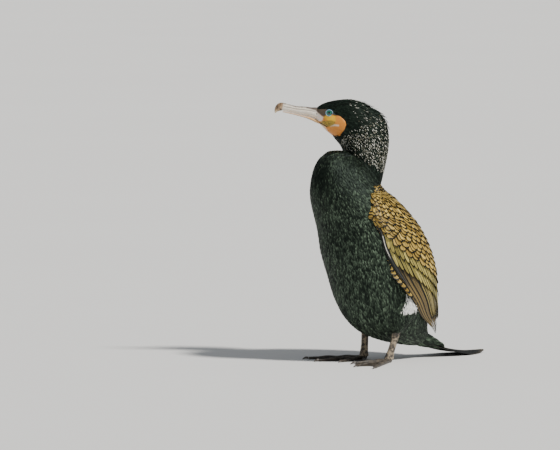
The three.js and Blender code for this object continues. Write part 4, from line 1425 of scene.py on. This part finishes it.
def eye_material():
    """Emerald iris with a dark rim and fine rays, round a black pupil."""
    nodes = new_material("eye", 0.12, Specular_IOR_Level=0.5, Coat_Weight=0.6, Coat_Roughness=0.03)
    radius = nodes.value("from_axis")
    rays = nodes.noise(900.0, 3.0, 0.6)
    iris = nodes.mix(nodes.ramp(rays, 0.35, 0.65), (0.0, 0.06, 0.035), (0.002, 0.27, 0.17))
    inner = nodes.ramp(radius, 0.38, 0.55)
    iris = nodes.mix(inner, (0.002, 0.06, 0.045), iris)
    colour = nodes.mix(nodes.ramp(radius, 0.34, 0.38), (0.002, 0.002, 0.002), iris)
    colour = nodes.mix(nodes.ramp(radius, 0.76, 0.88), colour, (0.002, 0.006, 0.006))
    return nodes.finish(colour)


def lid_material():
    nodes = new_material("eyelid", 0.35, Specular_IOR_Level=0.55)
    blotch = nodes.noise(700.0, 3.0)
    colour = nodes.mix(blotch, (0.1, 0.24, 0.36), (0.34, 0.52, 0.64))
    colour = nodes.mix(nodes.value("between"), colour, (0.03, 0.05, 0.06))
    return nodes.finish(colour)


def sphere_points(rows, around):
    """Unit directions and faces of a ball whose pole is +Z."""
    polar = np.linspace(0, math.pi, rows + 1)[1:-1, None]
    turn = np.linspace(0, 2 * math.pi, around + 1)[None, :-1]
    flat = np.sin(polar)
    ball = np.stack(np.broadcast_arrays(flat * np.cos(turn), flat * np.sin(turn), np.cos(polar)), -1)
    points = np.concatenate([ball.reshape(-1, 3), [[0, 0, 1], [0, 0, -1]]])
    quads = []
    for i in range(rows - 2):
        for k in range(around):
            n = (k + 1) % around
            quads.append((i * around + k, (i + 1) * around + k, (i + 1) * around + n, i * around + n))
    top, bottom, last = (rows - 1) * around, (rows - 1) * around + 1, (rows - 2) * around
    tris = [(top, k, (k + 1) % around) for k in range(around)]
    tris += [(bottom, last + (k + 1) % around, last + k) for k in range(around)]
    return points, [quads, tris]


def make_eyes():
    ball_points, faces = sphere_points(40, 48)
    eye, lid = eye_material(), lid_material()
    for side_label, sign in (("left", 1), ("right", -1)):
        out = HEAD_LEFT * sign
        basis = np.stack([HEAD_AHEAD, np.cross(out, HEAD_AHEAD), out])
        centre = on_head(EYE["d"], EYE["z"], sign * EYE_CENTRE)
        points = to_metres(centre + (ball_points * EYE["ball"]) @ basis)
        from_axis = np.arccos(np.clip(ball_points[:, 2], -1, 1)) / math.asin(EYE["ring"] / EYE["ball"])
        mesh = build_mesh("eye_ball_" + side_label, points, faces, {}, {"from_axis": from_axis})
        add_piece(mesh, eye, ("eye_" + side_label,))
        make_lid(side_label, sign, basis, lid)


def make_lid(side_label, sign, basis, material):
    """The ring of lids: a soft roll set with a circle of beads."""
    around, section, beads = 176, 14, 22
    turn = np.arange(around)[:, None] * 2 * math.pi / around
    roll = np.arange(section)[None, :] * 2 * math.pi / section
    bead = np.abs(np.cos(turn * beads / 2)) ** 0.8
    radius = 0.55 + 0.42 * bead * (0.6 + 0.4 * np.cos(roll - 0.9))
    ring = EYE["ring"] + 0.1 + radius * np.cos(roll)
    x = ring * np.cos(turn) * 1.06
    y = ring * np.sin(turn) * 0.98
    z = radius * np.sin(roll) * 1.1 + 0.35
    centre = on_head(EYE["d"], EYE["z"], sign * EYE["surface"])
    points = to_metres(centre + np.stack(np.broadcast_arrays(x, y, z), -1).reshape(-1, 3) @ basis)
    quads = []
    for i in range(around):
        for k in range(section):
            a, b = i * section + k, ((i + 1) % around) * section + k
            c, d = ((i + 1) % around) * section + (k + 1) % section, i * section + (k + 1) % section
            quads.append((a, b, c, d))
    between = np.broadcast_to((1 - bead) ** 2 * 0.8, (around, section)).ravel()
    mesh = build_mesh("eyelid_ring_" + side_label, points, [quads], {}, {"between": between})
    return add_piece(mesh, material, ("eyelid_" + side_label,))


make_eyes()


# Legs and feet
TOES = [(36, 98, 9), (12, 88, 8.6), (-14, 64, 8.2), (-48, 31, 7)]
KNUCKLES = [1, 0.84, 0.92, 0.74, 0.82, 0.62, 0.56]


def scaly_material():
    """Leg skin: dark grey-brown scales with paler, worn edges."""
    nodes = new_material("leg_skin", 0.45, Specular_IOR_Level=0.5)
    scales = {"Vector": nodes.place(), "Scale": 420.0}
    cells = nodes.add("ShaderNodeTexVoronoi", scales, feature="DISTANCE_TO_EDGE")
    gap = nodes.ramp(cells.outputs["Distance"], 0.0, 0.09)
    blotch = nodes.noise(75.0, 4.0, 0.6)
    colour = nodes.mix(blotch, (0.012, 0.011, 0.01), (0.05, 0.042, 0.034))
    shine = nodes.ramp(nodes.noise(210.0, 4.0, 0.6), 0.44, 0.6)
    colour = nodes.mix(nodes.times(nodes.value("bright"), shine), colour, (0.5, 0.4, 0.27))
    worn = nodes.times(nodes.value("raised"), nodes.ramp(nodes.noise(130.0, 3.0), 0.42, 0.62))
    colour = nodes.mix(nodes.times(worn, 0.55), colour, (0.2, 0.16, 0.115))
    colour = nodes.mix(nodes.times(nodes.minus(1.0, gap), 0.5), colour, (0.16, 0.13, 0.1))
    return nodes.finish(colour, gap, 0.5, 0.0006)


def claw_material():
    nodes = new_material("claw_horn", 0.3, Specular_IOR_Level=0.55)
    blotch = nodes.noise(300.0, 4.0)
    colour = nodes.mix(blotch, (0.02, 0.016, 0.014), (0.09, 0.07, 0.055))
    return nodes.finish(colour, blotch, 0.2, 0.0004)


SCALY = scaly_material()
CLAW = claw_material()


def scuted(form, rows, around, step, depth, front):
    """A form's points in mm with overlapping cross scales on one side of it, and how raised each point is.
    Scales are step mm long; front is the angle that they face."""
    t = np.linspace(0, 1, rows + 1)
    centre = form.frame(t)[0]
    run = np.concatenate([[0], np.cumsum(np.linalg.norm(np.diff(centre, axis=0), axis=1))])
    verts, faces = form.tube(rows, around)
    side_wall = slice(4 * around, (rows + 5) * around)
    raised = np.zeros(len(verts))
    angles = np.arange(around) * 360 / around
    facing = smooth(np.cos(np.radians(angles - front)), 0.05, 0.6)
    wave = (run / step) % 1
    lift = wave**0.6 * (1 - smooth(wave, 0.86, 1.0))
    pebbles = np.sin(run[:, None] * 2.4) * np.sin(np.radians(angles)[None, :] * 7) * 0.35 + 0.35
    amount = facing[None, :] * lift[:, None] + (1 - facing[None, :]) * pebbles
    mid = verts[side_wall].reshape(rows + 1, around, 3)
    out = unit(mid - centre[:, None, :])
    verts[side_wall] = (mid + out * (amount * depth)[..., None]).reshape(-1, 3)
    raised[side_wall] = amount.ravel()
    return verts, faces, raised


def toe_form(sign, angle, length, girth):
    stations = []
    for k, share in enumerate(KNUCKLES):
        d = lerp(-3, length, k / (len(KNUCKLES) - 1))
        stations.append((d, 0.1, d, girth * share - 0.3, girth / 2 * share - 0.25, -sign * angle, 0))
    return Form(stations, axis=(TOE_JOINT[0] * sign, TOE_JOINT[1]), ends=(3, 1.2))


def web_points(sign, a, b, rows=36, columns=30):
    """A web between two toes: points of its upper and lower faces in mm, in rows towards its free edge."""
    s = np.linspace(0, 1, rows + 1)[:, None]
    c = np.linspace(0, 1, columns + 1)[None, :]
    reach = 0.06 + s * (0.92 - 0.2 * 4 * c * (1 - c))
    base = np.array([TOE_JOINT[0] * sign, -TOE_JOINT[1], 0.0])
    ends = []
    for angle, length, _ in (a, b):
        ends.append(base + (reach * length)[..., None] * ahead(-sign * angle))
    flat = ends[0] * (1 - c)[..., None] + ends[1] * c[..., None]
    wrinkle = 0.22 * np.sin(c * 26 + 3 * np.sin(s * 5)) * np.sin(np.pi * c) * smooth(s, 0.1, 0.5)
    sag = -0.3 * np.sin(np.pi * c)
    high = lerp(2.6, 1.4, s) + wrinkle + sag + 0.12 * np.sin(s * 60 + c * 4) * np.sin(np.pi * c)
    top, low = flat.copy(), flat.copy()
    top[..., 2], low[..., 2] = high, 0.3
    return top, low


def make_foot(side_label, sign):
    base, points, faces, raised = 0, [], [], []
    for toe in TOES:
        verts, toe_faces, lift = scuted(toe_form(sign, *toe), 120, 28, 2.3, 0.3, 180)
        verts[:, 2] = np.maximum(verts[:, 2], 0.05)
        points.append(verts)
        raised.append(lift)
        faces += [tuple(base + k for k in f) for f in toe_faces]
        base += len(verts)
    for a, b in zip(TOES[:-1], TOES[1:]):
        grid = closed(*web_points(sign, a, b))
        rows, around = grid.shape[:2]
        faces += [tuple(base + k for k in f) for f in ring_faces(rows, around)[0] + flat_ends(rows, around)]
        points.append(grid.reshape(-1, 3))
        raised.append(np.full(rows * around, 0.25))
        base += rows * around
    values = {"raised": np.concatenate(raised)}
    points = to_metres(np.concatenate(points))
    mesh = build_mesh("webbed_foot_" + side_label, points, by_corners(faces), {}, values)
    add_piece(mesh, SCALY, ("foot_" + side_label,), sharp=60)


def make_leg(side_label, sign):
    verts, faces, raised = scuted(shank(sign), 130, 48, 2.6, 0.35, 0)
    values = {"raised": raised, "bright": np.full(len(verts), 0.8)}
    mesh = build_mesh("shank_" + side_label, to_metres(verts), by_corners(faces), {}, values)
    add_piece(mesh, SCALY, ("leg_" + side_label,), sharp=60)


def make_claws(side_label, sign):
    for k, (angle, length, girth) in enumerate(TOES):
        root = girth * 0.56
        rows = [
            (0.5, 0.6, root, root * 0.4),
            (4.5, 1.2, root + 0.2, root * 0.3),
            (8, 0.7, root * 0.75, root * 0.2),
            (11, 0.2, 1.3, 0.5),
        ]
        stations = [(length + d, low, length + d, high, wide, -sign * angle, 0) for d, low, high, wide in rows]
        form = Form(stations, axis=(TOE_JOINT[0] * sign, TOE_JOINT[1]), ends=(2.0, 0.8))
        name = f"claw_horn_{side_label}_{k + 1}"
        loft_piece(name, form, 24, 20, CLAW, (f"claw_{side_label}_{k + 1}",))


for side_name, side_sign in (("left", 1), ("right", -1)):
    make_leg(side_name, side_sign)
    make_foot(side_name, side_sign)
    make_claws(side_name, side_sign)


# Floor, light and camera
VIEW = {"azimuth": 52.0, "elevation": 4.5, "distance": 8.0}
SUN = {"azimuth": 104, "elevation": 50, "strength": 4.8, "softness": 6}
SKY_STRENGTH = 0.36
FLOOR_SIZE = 400
FRAME_WIDTH = 0.98  # metres across the frame at the bird
FRAME_CENTRE = (-0.16625, 0.238)  # right of and above the source's own origin, in the camera's plane


def make_floor():
    bpy.ops.mesh.primitive_grid_add(x_subdivisions=8, y_subdivisions=8, size=FLOOR_SIZE)
    floor = bpy.context.object
    floor.name = "floor"
    nodes = new_material("floor", 0.85)
    colour = nodes.mix(nodes.noise(1.2, 2.0), (0.74, 0.74, 0.73), (0.77, 0.77, 0.76))
    floor.data.materials.append(nodes.finish(colour))


def towards(azimuth, elevation):
    """The direction out to a place at an azimuth and an elevation in degrees."""
    a, e = math.radians(azimuth), math.radians(elevation)
    return Vector((math.sin(a) * math.cos(e), -math.cos(a) * math.cos(e), math.sin(e)))


def look_back(made, out):
    """Turns a lamp or a camera that stands out along a direction back to the bird."""
    made.rotation_mode = "QUATERNION"
    made.rotation_quaternion = (-out).to_track_quat("-Z", "Y")


def make_sun(azimuth, elevation, strength, softness):
    """A broad soft key light from the bird's left and above; softness is its width in degrees."""
    light = bpy.data.lights.new("key", "SUN")
    light.energy = strength
    light.angle = math.radians(softness)
    light.color = (1.0, 0.97, 0.92)
    look_back(in_scene("key", light), towards(azimuth, elevation))


def make_camera():
    back = towards(VIEW["azimuth"], VIEW["elevation"])
    right = towards(VIEW["azimuth"] + 90, 0)
    up = back.cross(right)
    target = Vector(SHIFT) + right * FRAME_CENTRE[0] + up * FRAME_CENTRE[1]
    data = bpy.data.cameras.new("camera")
    data.sensor_width = 36
    data.lens = data.sensor_width * VIEW["distance"] / FRAME_WIDTH
    camera = in_scene("camera", data)
    camera.location = target + back * VIEW["distance"]
    look_back(camera, back)
    data.clip_end = 100
    bpy.context.scene.camera = camera


def make_world():
    world = bpy.data.worlds.new("studio")
    world.use_nodes = True
    sky = world.node_tree.nodes["Background"].inputs
    sky["Color"].default_value = (0.86, 0.9, 0.95, 1)
    sky["Strength"].default_value = SKY_STRENGTH
    bpy.context.scene.world = world


make_floor()
make_sun(**SUN)
make_camera()
make_world()
